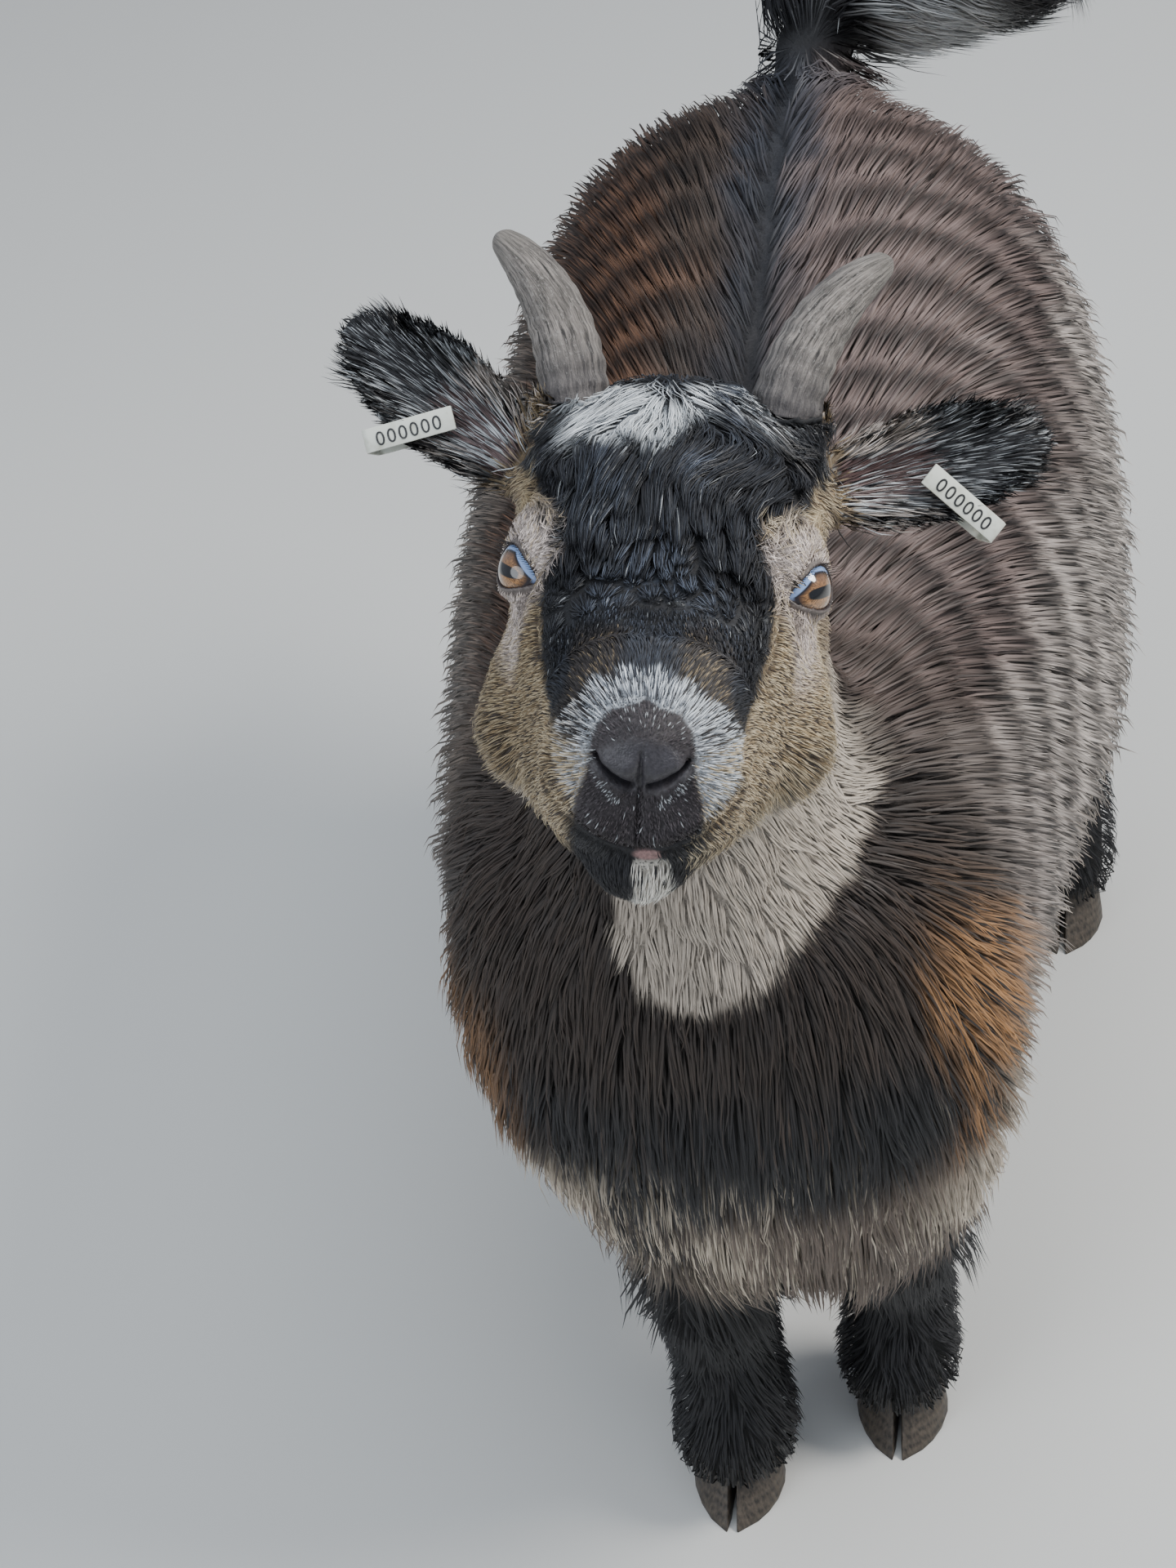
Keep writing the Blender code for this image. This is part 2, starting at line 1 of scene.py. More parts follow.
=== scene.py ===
"""Looks of a young pygmy goat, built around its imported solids.

One skin replaces the flesh, and the coat grows on it as closed, tapered tufts that are walked over
the skin along the lie of the hair.  Skin and coat take their colours from the same markings.
"""

import math

import bmesh
import bpy
import numpy as np
from mathutils import Matrix, Vector
from mathutils.bvhtree import BVHTree
from mathutils.kdtree import KDTree


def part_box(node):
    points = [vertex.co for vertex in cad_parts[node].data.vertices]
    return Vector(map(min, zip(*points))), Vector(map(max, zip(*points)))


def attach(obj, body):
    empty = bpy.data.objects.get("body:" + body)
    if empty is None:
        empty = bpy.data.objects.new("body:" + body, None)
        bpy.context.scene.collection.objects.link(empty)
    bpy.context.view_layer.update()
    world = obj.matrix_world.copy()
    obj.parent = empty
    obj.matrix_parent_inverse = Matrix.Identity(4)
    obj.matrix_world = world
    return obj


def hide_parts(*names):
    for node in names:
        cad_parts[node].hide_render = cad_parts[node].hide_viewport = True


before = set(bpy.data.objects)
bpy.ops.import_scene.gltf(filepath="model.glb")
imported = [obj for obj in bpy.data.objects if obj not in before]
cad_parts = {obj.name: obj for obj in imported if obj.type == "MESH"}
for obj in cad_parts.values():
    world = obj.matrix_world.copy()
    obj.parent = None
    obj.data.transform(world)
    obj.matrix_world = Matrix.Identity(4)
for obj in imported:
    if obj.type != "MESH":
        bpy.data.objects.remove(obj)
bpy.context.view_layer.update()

bl_info = {
    "name": "Pygmy goat looks",
    "version": (1, 0, 0),
    "blender": (4, 5, 0),
    "location": "View3D > Sidebar > Goat",
    "description": "Skin, coat, eyes, horns, hooves, ear tags and stage of a standing goat",
    "category": "Object",
}

SIDES = {"right": -1, "left": 1}
FLESH = ["head", "neck", "trunk", "tail", "ear_left", "ear_right"]
FLESH += [f"leg_{end}_{side}" for end in ("fore", "hind") for side in SIDES]
HOOVES = [f"hoof_{end}_{side}_{half}" for end in ("fore", "hind") for side in SIDES
          for half in ("inner", "outer")]


# -------- frames worked out from the solids
def middle(node):
    """Middle of a CAD node's box."""
    low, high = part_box(node)
    return (low + high) / 2


EYES = (middle("eye_left") + middle("eye_right")) / 2
EYE_OVER_SOLID = 1.06  # the eyeball's radius over its solid's half height
EYE_RADIUS = (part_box("eye_left")[1].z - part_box("eye_left")[0].z) / 2 * EYE_OVER_SOLID
EYE_OUT = 0.0012  # how far each eyeball stands out of its solid's middle
EYES_IN_BODY = Vector((-0.0095, -0.0131, 0.53))
ORIGIN = EYES - EYES_IN_BODY  # of the frame that the body is laid out in
HEAD_YAW, HEAD_PITCH, HEAD_ROLL = 7.7, -16.9, 8.9  # degrees about z, x and y
HEAD = (
    Matrix.Translation(EYES)
    @ Matrix.Rotation(math.radians(HEAD_YAW), 4, "Z")
    @ Matrix.Rotation(math.radians(HEAD_PITCH), 4, "X")
    @ Matrix.Rotation(math.radians(HEAD_ROLL), 4, "Y")
)
HEAD_TURN = HEAD.to_3x3()
EYE_GAZE = Vector((0.72, -0.65, 0.24)).normalized()  # of the left eye's opening, in the head's axes
IRIS_AIM = Vector((0.75, -0.62, 0.24)).normalized()  # of the left iris, in the head's axes
EAR_ROOT = Vector((0.0465, 0.050, 0.016))  # of the left ear, in the head's axes
EAR_AIM = {"right": (29, -18), "left": (12, -18)}  # degrees up from level, and forward
EAR_TURN = 12  # degrees about its length
EAR_LENGTH = 0.088
BODY_MIDDLE = ORIGIN + Vector((-0.02, 0.20, 0.32))

# y and z of a point in each sloping cut between two solids, and its tip in degrees
TAIL_CUT = (0.471, 0.474, -38)
HEAD_CUT = (0.060, 0.478, 22)
NECK_CUT = (0.045, 0.405, 28)
SPINE_X, SPINE_HEIGHT, SPINE_LEAN = -0.027, 0.43, 0.09  # the body leans a little to its right
TRUNK_AXIS = 0.30  # height of the line that angles round the trunk are taken about


def ear_frame(side):
    """x along the ear to its tip, y across it, z out of its hollow side."""
    sign = SIDES[side]
    up, ahead = (math.radians(a) for a in EAR_AIM[side])
    along = Vector((sign * math.cos(up) * math.cos(ahead), -math.sin(ahead), math.sin(up)))
    along.normalize()
    hollow = (Vector((0, -1, 0)) + along * along.y).normalized()
    hollow = Matrix.Rotation(math.radians(EAR_TURN) * -sign, 3, along) @ hollow
    local = Matrix((along, hollow.cross(along), hollow)).transposed().to_4x4()
    local.translation = Vector((sign * EAR_ROOT.x, EAR_ROOT.y, EAR_ROOT.z))
    return HEAD @ local


EARS = {side: ear_frame(side) for side in SIDES}


# -------- array helpers
def into(matrix, points):
    """Points of the row frame in the axes of matrix."""
    back = np.array(matrix.inverted())
    return points @ back[:3, :3].T + back[:3, 3]


def turned(matrix, vectors):
    """Directions in the axes of matrix as directions of the row frame."""
    return vectors @ np.array(matrix)[:3, :3].T


def in_body(points):
    """Points of the row frame in the frame that the body is laid out in."""
    return points - np.array(ORIGIN)


def in_head(points):
    """How far each point lies to the goat's left, towards its nose and up, in the head's axes."""
    return into(HEAD, points) * (1, -1, 1)


def unit(vectors):
    return vectors / np.maximum(np.linalg.norm(vectors, axis=1, keepdims=True), 1e-9)


def columns(*values):
    """Rows made of these columns, each an array or one number for every row."""
    return np.stack(np.broadcast_arrays(*values), axis=1)


def ramp(values, low, high):
    """0 up to low, 1 from high on and a smooth rise between. low may be the larger."""
    t = np.clip((values - low) / (high - low), 0, 1)
    return t * t * (3 - 2 * t)


def mixed(a, b, share):
    """a where share is 0 and b where it is 1, for numbers or for rows."""
    share = share[:, None] if np.ndim(a) == 2 or np.ndim(b) >= 1 and np.size(b) == 3 else share
    return a * (1 - share) + np.asarray(b) * share


def dyed(root, tip, new_root, new_tip, share):
    """Root and tip colours with this share of new ones."""
    return mixed(root, new_root, share), mixed(tip, new_tip, share)


def noise(points, size, seed=0):
    """Smooth noise from 0 to 1 with lumps of about this size in metres."""
    cell = points / size + seed * 17.31
    low = np.floor(cell).astype(np.int64)
    part = cell - low
    part = part * part * (3 - 2 * part)
    total = np.zeros(len(points))
    for corner in range(8):
        step = np.array([corner & 1, corner >> 1 & 1, corner >> 2 & 1])
        key = (low + step) @ np.array([73856093, 19349663, 83492791]) + seed * 2654435
        key = (key ^ (key >> 13)) * 1274126177 & 0x7FFFFFFF
        key = (key ^ (key >> 15)) * 668265263 & 0x7FFFFFFF
        total += (key / 0x7FFFFFFF) * np.prod(np.where(step, part, 1 - part), axis=1)
    return total


def above(body, cut):
    """Signed distance above one of the sloping cuts, for points in the body's frame."""
    y, z, degrees = cut
    tip = math.radians(degrees)
    return (body[:, 1] - y) * -math.sin(tip) + (body[:, 2] - z) * math.cos(tip)


def spine_x(z):
    """x of the body's middle line at this height."""
    return SPINE_X + SPINE_LEAN * (SPINE_HEIGHT - z)


def round_trunk(body):
    """How far each point lies to the left of the middle line, and its angle down from the back."""
    left = body[:, 0] - spine_x(body[:, 2])
    return left, np.degrees(np.arctan2(np.abs(left), body[:, 2] - TRUNK_AXIS))


def leg_share(body, fore, hind, rough=0.0):
    """1 on the legs and 0 above them, falling between the heights given for each pair of legs."""
    _, y, z = body.T
    return np.maximum(ramp(z + 0.02 * rough, *fore) * ramp(y, 0.20, 0.14),
                      ramp(z + 0.03 * rough, *hind) * ramp(y, 0.27, 0.31))


def tail_share(body, low, high):
    """1 on the tail and 0 before it, rising between these distances past its cut."""
    return ramp(above(body, TAIL_CUT), low, high) * ramp(body[:, 1], 0.40, 0.43)


def near_ear(ear):
    """True where a point in an ear's own axes belongs to that ear."""
    return (ear[:, 0] > 0) & (np.abs(ear[:, 1]) < 0.035) & (np.abs(ear[:, 2]) < 0.03)


# -------- scene helpers
def link(name, data):
    """A new object in the scene that holds this mesh, curve, light or camera."""
    obj = bpy.data.objects.new(name, data)
    bpy.context.scene.collection.objects.link(obj)
    return obj


def baked(obj, name):
    """A new object with obj's modifiers applied. obj is removed."""
    graph = bpy.context.evaluated_depsgraph_get()
    mesh = bpy.data.meshes.new_from_object(obj.evaluated_get(graph))
    bpy.data.objects.remove(obj)
    mesh.name = name
    return link(name, mesh)


def freed(bm, name):
    """A mesh of what bm holds. bm is freed."""
    mesh = bpy.data.meshes.new(name)
    bm.to_mesh(mesh)
    bm.free()
    return mesh


def copied(node, grow=0.0):
    """The mesh of a CAD node with its points merged, and its surface moved out by grow."""
    bm = bmesh.new()
    bm.from_mesh(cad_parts[node].data)
    bmesh.ops.remove_doubles(bm, verts=bm.verts, dist=1e-6)
    bm.normal_update()
    for vert in bm.verts:
        vert.co += vert.normal * grow
    return freed(bm, node + "_copy")


def bevelled(node, name, width, degrees):
    """A copy of a CAD node whose edges are rounded where they turn by more than these degrees."""
    obj = link(name, copied(node))
    bevel = obj.modifiers.new("Bevel", "BEVEL")
    bevel.width = width
    bevel.segments = 3
    bevel.limit_method = "ANGLE"
    bevel.angle_limit = math.radians(degrees)
    return baked(obj, name)


def rows_of(mesh, key):
    """One row of three numbers for each point of a mesh."""
    flat = np.empty(len(mesh.vertices) * 3, np.float32)
    mesh.vertices.foreach_get(key, flat)
    return flat.reshape(-1, 3).astype(float)


def points_of(mesh):
    return rows_of(mesh, "co")


def normals_of(mesh):
    return rows_of(mesh, "normal")


def set_points(mesh, points):
    mesh.vertices.foreach_set("co", points.astype(np.float32).ravel())
    mesh.update()


def write_colours(mesh, colours):
    """Stores a colour for each point, which the materials read."""
    layer = mesh.color_attributes.new("Coat", "FLOAT_COLOR", "POINT")
    rows = np.ones((len(mesh.vertices), 4), np.float32)
    rows[:, :3] = colours
    layer.data.foreach_set("color", rows.ravel())


def write_values(mesh, name, values, kind="FLOAT"):
    """Stores a number or a vector for each point."""
    layer = mesh.attributes.new(name, kind, "POINT")
    key = "vector" if kind == "FLOAT_VECTOR" else "value"
    layer.data.foreach_set(key, np.asarray(values, np.float32).ravel())


def finish_piece(obj, material, replaced=()):
    """Gives a piece its material and what the frame has to know of it."""
    obj.data.materials.clear()
    obj.data.materials.append(material)
    obj.data.shade_smooth()
    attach(obj, "root")
    if replaced:
        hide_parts(*replaced)
    return obj


# -------- shader helpers
class Value:
    """A shader socket that can be used in arithmetic."""

    def __init__(self, shader, socket):
        self.shader = shader
        self.socket = socket

    def _math(self, operation, *others, clamp=False):
        node = self.shader.tree.nodes.new("ShaderNodeMath")
        node.operation = operation
        node.use_clamp = clamp
        for socket, other in zip(node.inputs, others):
            self.shader.feed(socket, other)
        return Value(self.shader, node.outputs[0])

    def __add__(self, other):
        return self._math("ADD", self, other)

    __radd__ = __add__

    def __mul__(self, other):
        return self._math("MULTIPLY", self, other)

    __rmul__ = __mul__

    def __sub__(self, other):
        return self._math("SUBTRACT", self, other)

    def __rsub__(self, other):
        return self._math("SUBTRACT", other, self)

    def __truediv__(self, other):
        return self._math("DIVIDE", self, other)

    def __pow__(self, other):
        return self._math("POWER", self, other)

    def __abs__(self):
        return self._math("ABSOLUTE", self)

    def call(self, operation, *others):
        return self._math(operation, self, *others)

    def rise(self, low, high):
        """0 up to low and 1 from high on."""
        return self._math("DIVIDE", self - low, high - low, clamp=True)


class Shader:
    """A material with one Principled shader."""

    def __init__(self, name, **settings):
        self.material = bpy.data.materials.new(name)
        self.material.use_nodes = True
        self.tree = self.material.node_tree
        self.main = self.tree.nodes["Principled BSDF"]
        self.set(**settings)

    def feed(self, socket, value):
        """Links a socket to a value, or sets it to a number, vector or colour."""
        if isinstance(value, Value):
            self.tree.links.new(value.socket, socket)
        else:
            socket.default_value = value

    def node(self, kind, settings=None, output=0, **values):
        """The output of a new node with these settings and inputs. Spaces are written as _."""
        made = self.tree.nodes.new("ShaderNode" + kind)
        for key, value in (settings or {}).items():
            if key == "stops":
                for stop, (place, colour) in zip(self._stops(made, len(value)), value):
                    stop.position = place
                    stop.color = (*colour, 1)
            else:
                setattr(made, key, value)
        for key, value in values.items():
            self.feed(made.inputs[key.replace("_", " ")], value)
        return Value(self, made.outputs[output])

    @staticmethod
    def _stops(node, count):
        elements = node.color_ramp.elements
        while len(elements) < count:
            elements.new(1)
        return elements

    def mix(self, share, first, second, blend="MIX"):
        """A colour between two."""
        made = self.tree.nodes.new("ShaderNodeMix")
        made.data_type = "RGBA"
        made.blend_type = blend
        for index, value in ((0, share), (6, first), (7, second)):
            if isinstance(value, tuple):
                value = (*value, 1)
            self.feed(made.inputs[index], value)
        return Value(self, made.outputs[2])

    def set(self, **values):
        for key, value in values.items():
            self.feed(self.main.inputs[key.replace("_", " ")], value)

    def bump(self, height, distance, strength=1.0):
        self.set(Normal=self.node("Bump", Height=height, Distance=distance, Strength=strength))

    def place(self):
        return self.node("TexCoord", output=3)

    def attribute(self, name, output=0):
        """A stored attribute: as a colour, a vector (output 1) or a number (output 2)."""
        return self.node("Attribute", {"attribute_name": name}, output)


# -------- settings
def a_length(name, default, description):
    return bpy.props.FloatProperty(name=name, description=description, default=default, unit="LENGTH")


def a_colour(name, default, description):
    return bpy.props.FloatVectorProperty(name=name, description=description, default=default, subtype="COLOR")


class GoatCoatSettings(bpy.types.PropertyGroup):
    """Sizes of the coat."""

    seed: bpy.props.IntProperty(name="Seed", description="Start of the coat's random draws", default=7)
    face_length: a_length("Face hair", 0.0046, "Length of the hair on the face")
    forelock_length: a_length("Forelock", 0.024, "Length of the hair on the forehead")
    body_length: a_length("Body hair", 0.036, "Length of the hair on the flanks")
    skirt_length: a_length("Skirt", 0.052, "Length of the hair under the chest")
    leg_length: a_length("Leg hair", 0.018, "Length of the hair on the legs")
    ripple: a_length("Ripple", 0.027, "From one pale row of the flank to the next")


class GoatSkinSettings(bpy.types.PropertyGroup):
    """Sizes of the skin."""

    voxel: a_length("Voxel", 0.0021, "Fineness of the skin before it is thinned")
    head_depth: a_length("Head depth", 0.0024, "How far the skin lies inside the head")
    body_depth: a_length("Body depth", 0.0155, "How far the skin lies inside the trunk")
    leg_depth: a_length("Leg depth", 0.0048, "How far the skin lies inside the legs")


class GoatColourSettings(bpy.types.PropertyGroup):
    """Colours that a user may change."""

    iris: a_colour("Iris", (0.31, 0.158, 0.062), "Colour of the iris")
    horn: a_colour("Horn", (0.112, 0.100, 0.090), "Colour of the horns")
    tag: a_colour("Tag", (0.72, 0.74, 0.66), "Colour of the ear tags")
    floor: a_colour("Floor", (0.62, 0.62, 0.60), "Colour of the floor")


# -------- markings
BLACK = np.array((0.011, 0.011, 0.013))
SOOT = np.array((0.028, 0.024, 0.023))
UMBER = np.array((0.068, 0.046, 0.034))
GOLD = np.array((0.46, 0.34, 0.185))
STRAW = np.array((0.66, 0.55, 0.37))
RUST = np.array((0.160, 0.080, 0.045))
ORANGE = np.array((0.45, 0.230, 0.090))
MAUVE = np.array((0.180, 0.132, 0.120))
TAUPE = np.array((0.35, 0.285, 0.235))
SILVER = np.array((0.64, 0.57, 0.52))
CREAM = np.array((0.62, 0.54, 0.43))
BIB = np.array((0.52, 0.455, 0.38))
WHITE = np.array((0.80, 0.84, 0.87))
ROSE = np.array((0.70, 0.60, 0.55))
# a blue-grey, and also the colour of the painted blue sheen on black hair
SLATE = np.array((0.046, 0.056, 0.077))
PAD = np.array((0.046, 0.043, 0.050))
LIP = np.array((0.046, 0.038, 0.042))
PINK = np.array((0.33, 0.19, 0.18))

# how high the edge between the black mask and the cheek lies, from the poll to the nose
MASK_EDGE = ((-0.060, -0.020, 0.003, 0.014, 0.022, 0.033, 0.048, 0.064, 0.080),
             (0.0210, 0.0215, 0.0218, 0.0172, 0.0128, 0.0030, -0.0072, -0.0140, -0.0180))
# how high the edge between the mask's stripes and the grizzled bridge of the nose lies
BRIDGE_EDGE = ((0.046, 0.057, 0.067, 0.080), (0.0110, 0.0030, -0.0030, -0.0095))
# how far forward the white ring starts on the goat's right and left, from its chin to its brow
RING_EDGE = {"right": ((-0.036, -0.030, -0.024, -0.016, -0.006, 0.001),
                       (0.1030, 0.0960, 0.0900, 0.0860, 0.0870, 0.0840)),
             "left": ((-0.038, -0.031, -0.024, -0.018, -0.010, -0.003),
                      (0.1000, 0.0910, 0.0840, 0.0760, 0.0830, 0.0880))}
# how far forward the white flash between the horns starts and ends, from the goat's right to its left
FLASH_FRONT = ((-0.037, -0.024, -0.012, -0.003, 0.006, 0.014, 0.038),
               (-0.0280, -0.0225, -0.0175, -0.0150, -0.0260, -0.0335, -0.0370))
FLASH_BACK = ((-0.037, -0.030, -0.016, -0.003, 0.008, 0.020, 0.038),
              (-0.0470, -0.0490, -0.0430, -0.0315, -0.0400, -0.0480, -0.0480))
# half width of the dark nose and lips, from the mouth up to the top of the nose
NOSE_HALF = ((-0.050, -0.040, -0.033, -0.025, -0.016, -0.010, -0.006, -0.003),
             (0.0140, 0.0195, 0.0190, 0.0165, 0.0155, 0.0140, 0.0100, 0.0))
# edges of the bib to the goat's right and left, upwards
BIB_RIGHT = ((0.352, 0.362, 0.380, 0.406, 0.440), (-0.014, -0.030, -0.038, -0.041, -0.050))
BIB_LEFT = ((0.352, 0.362, 0.380, 0.399, 0.440), (-0.014, 0.006, 0.030, 0.052, 0.056))
# share of pale hairs in the front of the skirt, from the goat's right to its left
SKIRT_SHARE = ((-0.080, -0.060, -0.036, -0.012, 0.020, 0.045, 0.065, 0.080),
               (0.98, 0.78, 0.50, 0.66, 0.30, 0.34, 0.85, 1.0))
# how far a row of the left flank runs forward, by the angle round the trunk in degrees
ROW_LEAN = ((0, 15, 33, 44, 62, 80, 110), (0.0, 0.0, -0.012, -0.012, 0.000, 0.030, 0.055))
ROW_EDGE = 0.55  # how far through a row its hairs end
MOUTH_LOW, MOUTH_RISE, MOUTH_HALF = -0.0485, 0.0165, 0.0280  # its line's middle, rise and half width
PAD_HALF, PAD_HEIGHT = (0.0132, 0.0084), -0.0200  # half width and half height, and its middle
EYE_PLACE = (0.0490, 0.008, 0.003)  # of the eyes' pale surrounds, in the head's axes
# a line of pale hairs under each nostril
UNDER_NOSTRIL = [(0.0168, -0.0160), (0.0125, -0.0262), (0.0070, -0.0325)]


def mask_edge(h):
    """How high the mask's edge lies beside a point of the head, a little higher over each eye."""
    x, f = h[:, 0], h[:, 1]
    over_eye = np.exp(-(((f - 0.012) / 0.008) ** 2))
    return np.interp(f, *MASK_EDGE) + np.where(x > 0, 0.0034, 0.0012) * over_eye


def bib_share(b, rough):
    """1 on the pale bib of the throat, and 0 outside it."""
    x, y, z = b.T
    low, high = np.interp(z, *BIB_RIGHT) + 0.008 * rough, np.interp(z, *BIB_LEFT) + 0.008 * rough
    share = ramp(x, low - 0.003, low + 0.003) * ramp(x, high + 0.003, high - 0.003)
    return share * ramp(y + 0.02 * rough, 0.066, 0.034) * ramp(z + 0.012 * rough, 0.348, 0.360)


def mouth_height(side):
    """Height of the mouth's line at this distance from the head's middle."""
    return MOUTH_LOW + MOUTH_RISE * np.clip(side / MOUTH_HALF, 0, 1) ** 1.7


def pad_measure(h):
    """1 on the edge of the bare nose pad, less inside it and more outside."""
    away = np.sqrt((h[:, 0] / PAD_HALF[0]) ** 2 + ((h[:, 2] - PAD_HEIGHT) / PAD_HALF[1]) ** 2)
    return np.where(h[:, 1] > 0.085, away, 9.0)


def nose_share(h, soft=0.0012):
    """1 on the dark nose and lips, and 0 outside them."""
    half = np.interp(h[:, 2], *NOSE_HALF)
    low = mouth_height(np.abs(h[:, 0])) - 0.0006
    share = ramp(np.abs(h[:, 0]), half + soft, half - soft) * ramp(h[:, 2], low - soft, low + soft)
    return share * ramp(h[:, 1], 0.088, 0.092)


def ring_share(h, rough):
    """1 on the white ring over and beside the nose, and 0 outside it."""
    x, f, z = h.T
    side = np.where(x < 0, np.interp(z, *RING_EDGE["right"]), np.interp(z, *RING_EDGE["left"]))
    beside = ramp(f + rough, side - 0.001, side + 0.001) * ramp(np.abs(x), 0.010, 0.013)
    beside = beside * ramp(z, mouth_height(np.abs(x)) + 0.001, mouth_height(np.abs(x)) + 0.004)
    over = ramp(f + rough, 0.0785 + 22 * x ** 2, 0.0805 + 22 * x ** 2) * ramp(np.abs(x), 0.017, 0.014)
    over = over * ramp(z, -0.012, -0.008)
    return np.maximum(beside, over) * (1 - nose_share(h))


def eye_measure(h):
    """Distance from the nearer eye's middle."""
    side, ahead, up = EYE_PLACE
    return np.linalg.norm(columns(np.abs(h[:, 0]) - side, h[:, 1] - ahead, h[:, 2] - up), axis=1)


def paint_head(points, draw):
    """Root and tip colours of hair on the head. draw is three random numbers for each hair."""
    h = in_head(points)
    x, f, z = h.T
    side = np.abs(x)
    rough = noise(points, 0.005, 3) - 0.5
    # agouti of cheeks and jaw
    pick = draw[:, 0] + rough * 0.20
    tip = mixed(GOLD, STRAW * 1.08, ramp(pick, 0.56, 0.78))
    tip = mixed(tip, SOOT * 1.3, ramp(pick, 0.38, 0.27))
    # the goat's right cheek is darkened and dulled as painted shade
    shaded_cheek = ramp(x, -0.016, -0.042)
    tip = mixed(tip, tip * (0.66, 0.64, 0.58), shaded_cheek)
    low = ramp(z, -0.050, -0.064) * (draw[:, 1] < 0.50)
    tip = mixed(tip, SOOT, low)
    nape = ramp(f, -0.020, -0.050) * ramp(z, 0.030, 0.0)
    tip = mixed(tip, TAUPE * 0.8, nape * 0.5)
    # pale surrounds of the eyes, wide above and below them
    rim = ramp(eye_measure(h) + 0.003 * rough, 0.026, 0.015) * ramp(side, 0.034, 0.038)
    below = ramp(np.abs(f - 0.010), 0.024, 0.014) * ramp(z, -0.034, -0.016) * ramp(z, 0.024, 0.016)
    rim = np.maximum(rim, below)
    tip = mixed(tip, ROSE * (0.80 + 0.35 * draw[:, 2:3]), rim * (draw[:, 1] < 0.80))
    root = mixed(UMBER * 1.1, ROSE * 0.58, rim)
    tear = ramp(np.hypot((f - 0.0235) / 0.0055, (z + 0.0030) / 0.0065), 1.15, 0.35)
    tear = tear * ramp(side, 0.028, 0.033)
    tip = mixed(tip, UMBER * 1.3, tear * 0.7)
    # black mask of the forehead, and the stripes that run from it to the corners of the muzzle
    edge = mask_edge(h) + rough * 0.004
    above_edge = ramp(z, edge - 0.0012, edge + 0.0012)
    top = np.interp(f, *BRIDGE_EDGE) + rough * 0.004
    fade = ramp(f + rough * 0.010, 0.064, 0.052)
    stripe = ramp(z, top + 0.0015, top - 0.0015) * ramp(f, 0.083, 0.076)
    dark = above_edge * np.maximum(fade, stripe)
    bridge = above_edge * ramp(z, -0.022, -0.014)
    lobe = ramp(side, 0.006, 0.012)
    gold_share = 0.04 + (0.15 + 0.12 * (x > 0)) * ramp(f, 0.058, 0.074)
    fleck = np.where(draw[:, 0] < gold_share, 1.0, 0.0)
    streak = mixed(SLATE * (0.25 + 0.8 * draw[:, 2:3]), GOLD * (0.60, 0.62, 0.70), lobe * fleck)
    streak = mixed(streak, SOOT, lobe * (1 - fleck))
    root, tip = dyed(root, tip, SOOT * 0.8, streak, bridge)
    # painted blue sheen with painted highlights, brightest in the middle of the forelock, on the mask's black
    # tips
    lit = 1.9 * ramp(noise(points, 0.011, 8), 0.38, 0.72) * ramp(side, 0.034, 0.012)
    lit = (0.30 + lit)[:, None]
    painted_sheen = BLACK * 0.8 + SLATE * lit * (0.85 * ramp(draw[:, 1:2], 0.50, 1.0) + 0.18 * draw[:, 2:3])
    root, tip = dyed(root, tip, BLACK, painted_sheen, dark)
    tip = mixed(tip, WHITE * 0.45, dark * (draw[:, 0] > 0.993))
    # white flash between the horns, full on the goat's right and thin on its left
    back_edge, front_edge = np.interp(x, *FLASH_BACK), np.interp(x, *FLASH_FRONT)
    flash = ramp(f + rough * 0.006, back_edge - 0.001, back_edge + 0.002)
    flash = flash * ramp(f + rough * 0.008, front_edge + 0.002, front_edge - 0.002)
    flash = flash * ramp(x, -0.039, -0.034) * ramp(x, 0.040, 0.034) * ramp(z, 0.030, 0.036)
    share = 0.95 - 0.45 * ramp(x, 0.004, 0.014)
    flash = flash * (draw[:, 0] < share)
    root, tip = dyed(root, tip, WHITE * 0.6, WHITE * (0.8 + 0.3 * draw[:, 2:3]), flash)
    # white ring over and beside the nose, with dark hairs in it
    ring = ring_share(h, rough * 0.010) * (draw[:, 0] < 0.76 - 0.24 * ramp(x, -0.012, -0.022))
    pale = mixed(WHITE, CREAM * 1.2, ramp(x, -0.014, -0.024) * draw[:, 1])
    root, tip = dyed(root, tip, SLATE * 2.4, pale * (0.75 + 0.35 * draw[:, 2:3]), ring)
    # dark nose and lips, with a pale line of hairs under each nostril
    nose = nose_share(h)
    root, tip = dyed(root, tip, LIP * 0.7, LIP * (0.5 + 0.8 * draw[:, 2:3]), nose)
    under = stretch_to(columns(side, z), UNDER_NOSTRIL)
    under = ramp(under, 0.0018, 0.0008) * ramp(f, 0.088, 0.092) * (draw[:, 1] < 0.60)
    tip = mixed(tip, WHITE * 0.60, under)
    speck = nose * (draw[:, 0] > 0.965 - 0.09 * ramp(z, -0.015, -0.006))
    tip = mixed(tip, WHITE * 0.5, speck)
    # black chin, mixed with gold on the goat's left, and a white tuft
    mouth = mouth_height(side)
    chin = ramp(z, mouth + 0.0005, mouth - 0.0012) * ramp(f, 0.056, 0.074)
    chin = chin * ramp(side, 0.024, 0.018)
    tip = mixed(tip, BLACK * 1.5, chin * (draw[:, 0] < 1.0 - 0.45 * ramp(x, 0.012, 0.020)))
    root = mixed(root, BLACK * 1.5, chin)
    tuft = ramp(np.abs(x - 0.0042 + rough * 0.004), 0.0062, 0.0045) * ramp(z, -0.0520, -0.0545)
    tuft = tuft * ramp(f, 0.074, 0.084) * (draw[:, 2] < 0.88)
    root, tip = dyed(root, tip, CREAM, WHITE * (1.08, 1.02, 0.92), tuft)
    # throat
    throat = ramp(f, 0.050, 0.030) * ramp(z, -0.054, -0.066) * ramp(side, 0.050, 0.038)
    root, tip = dyed(root, tip, BIB * 0.6, BIB, throat)
    return root, tip


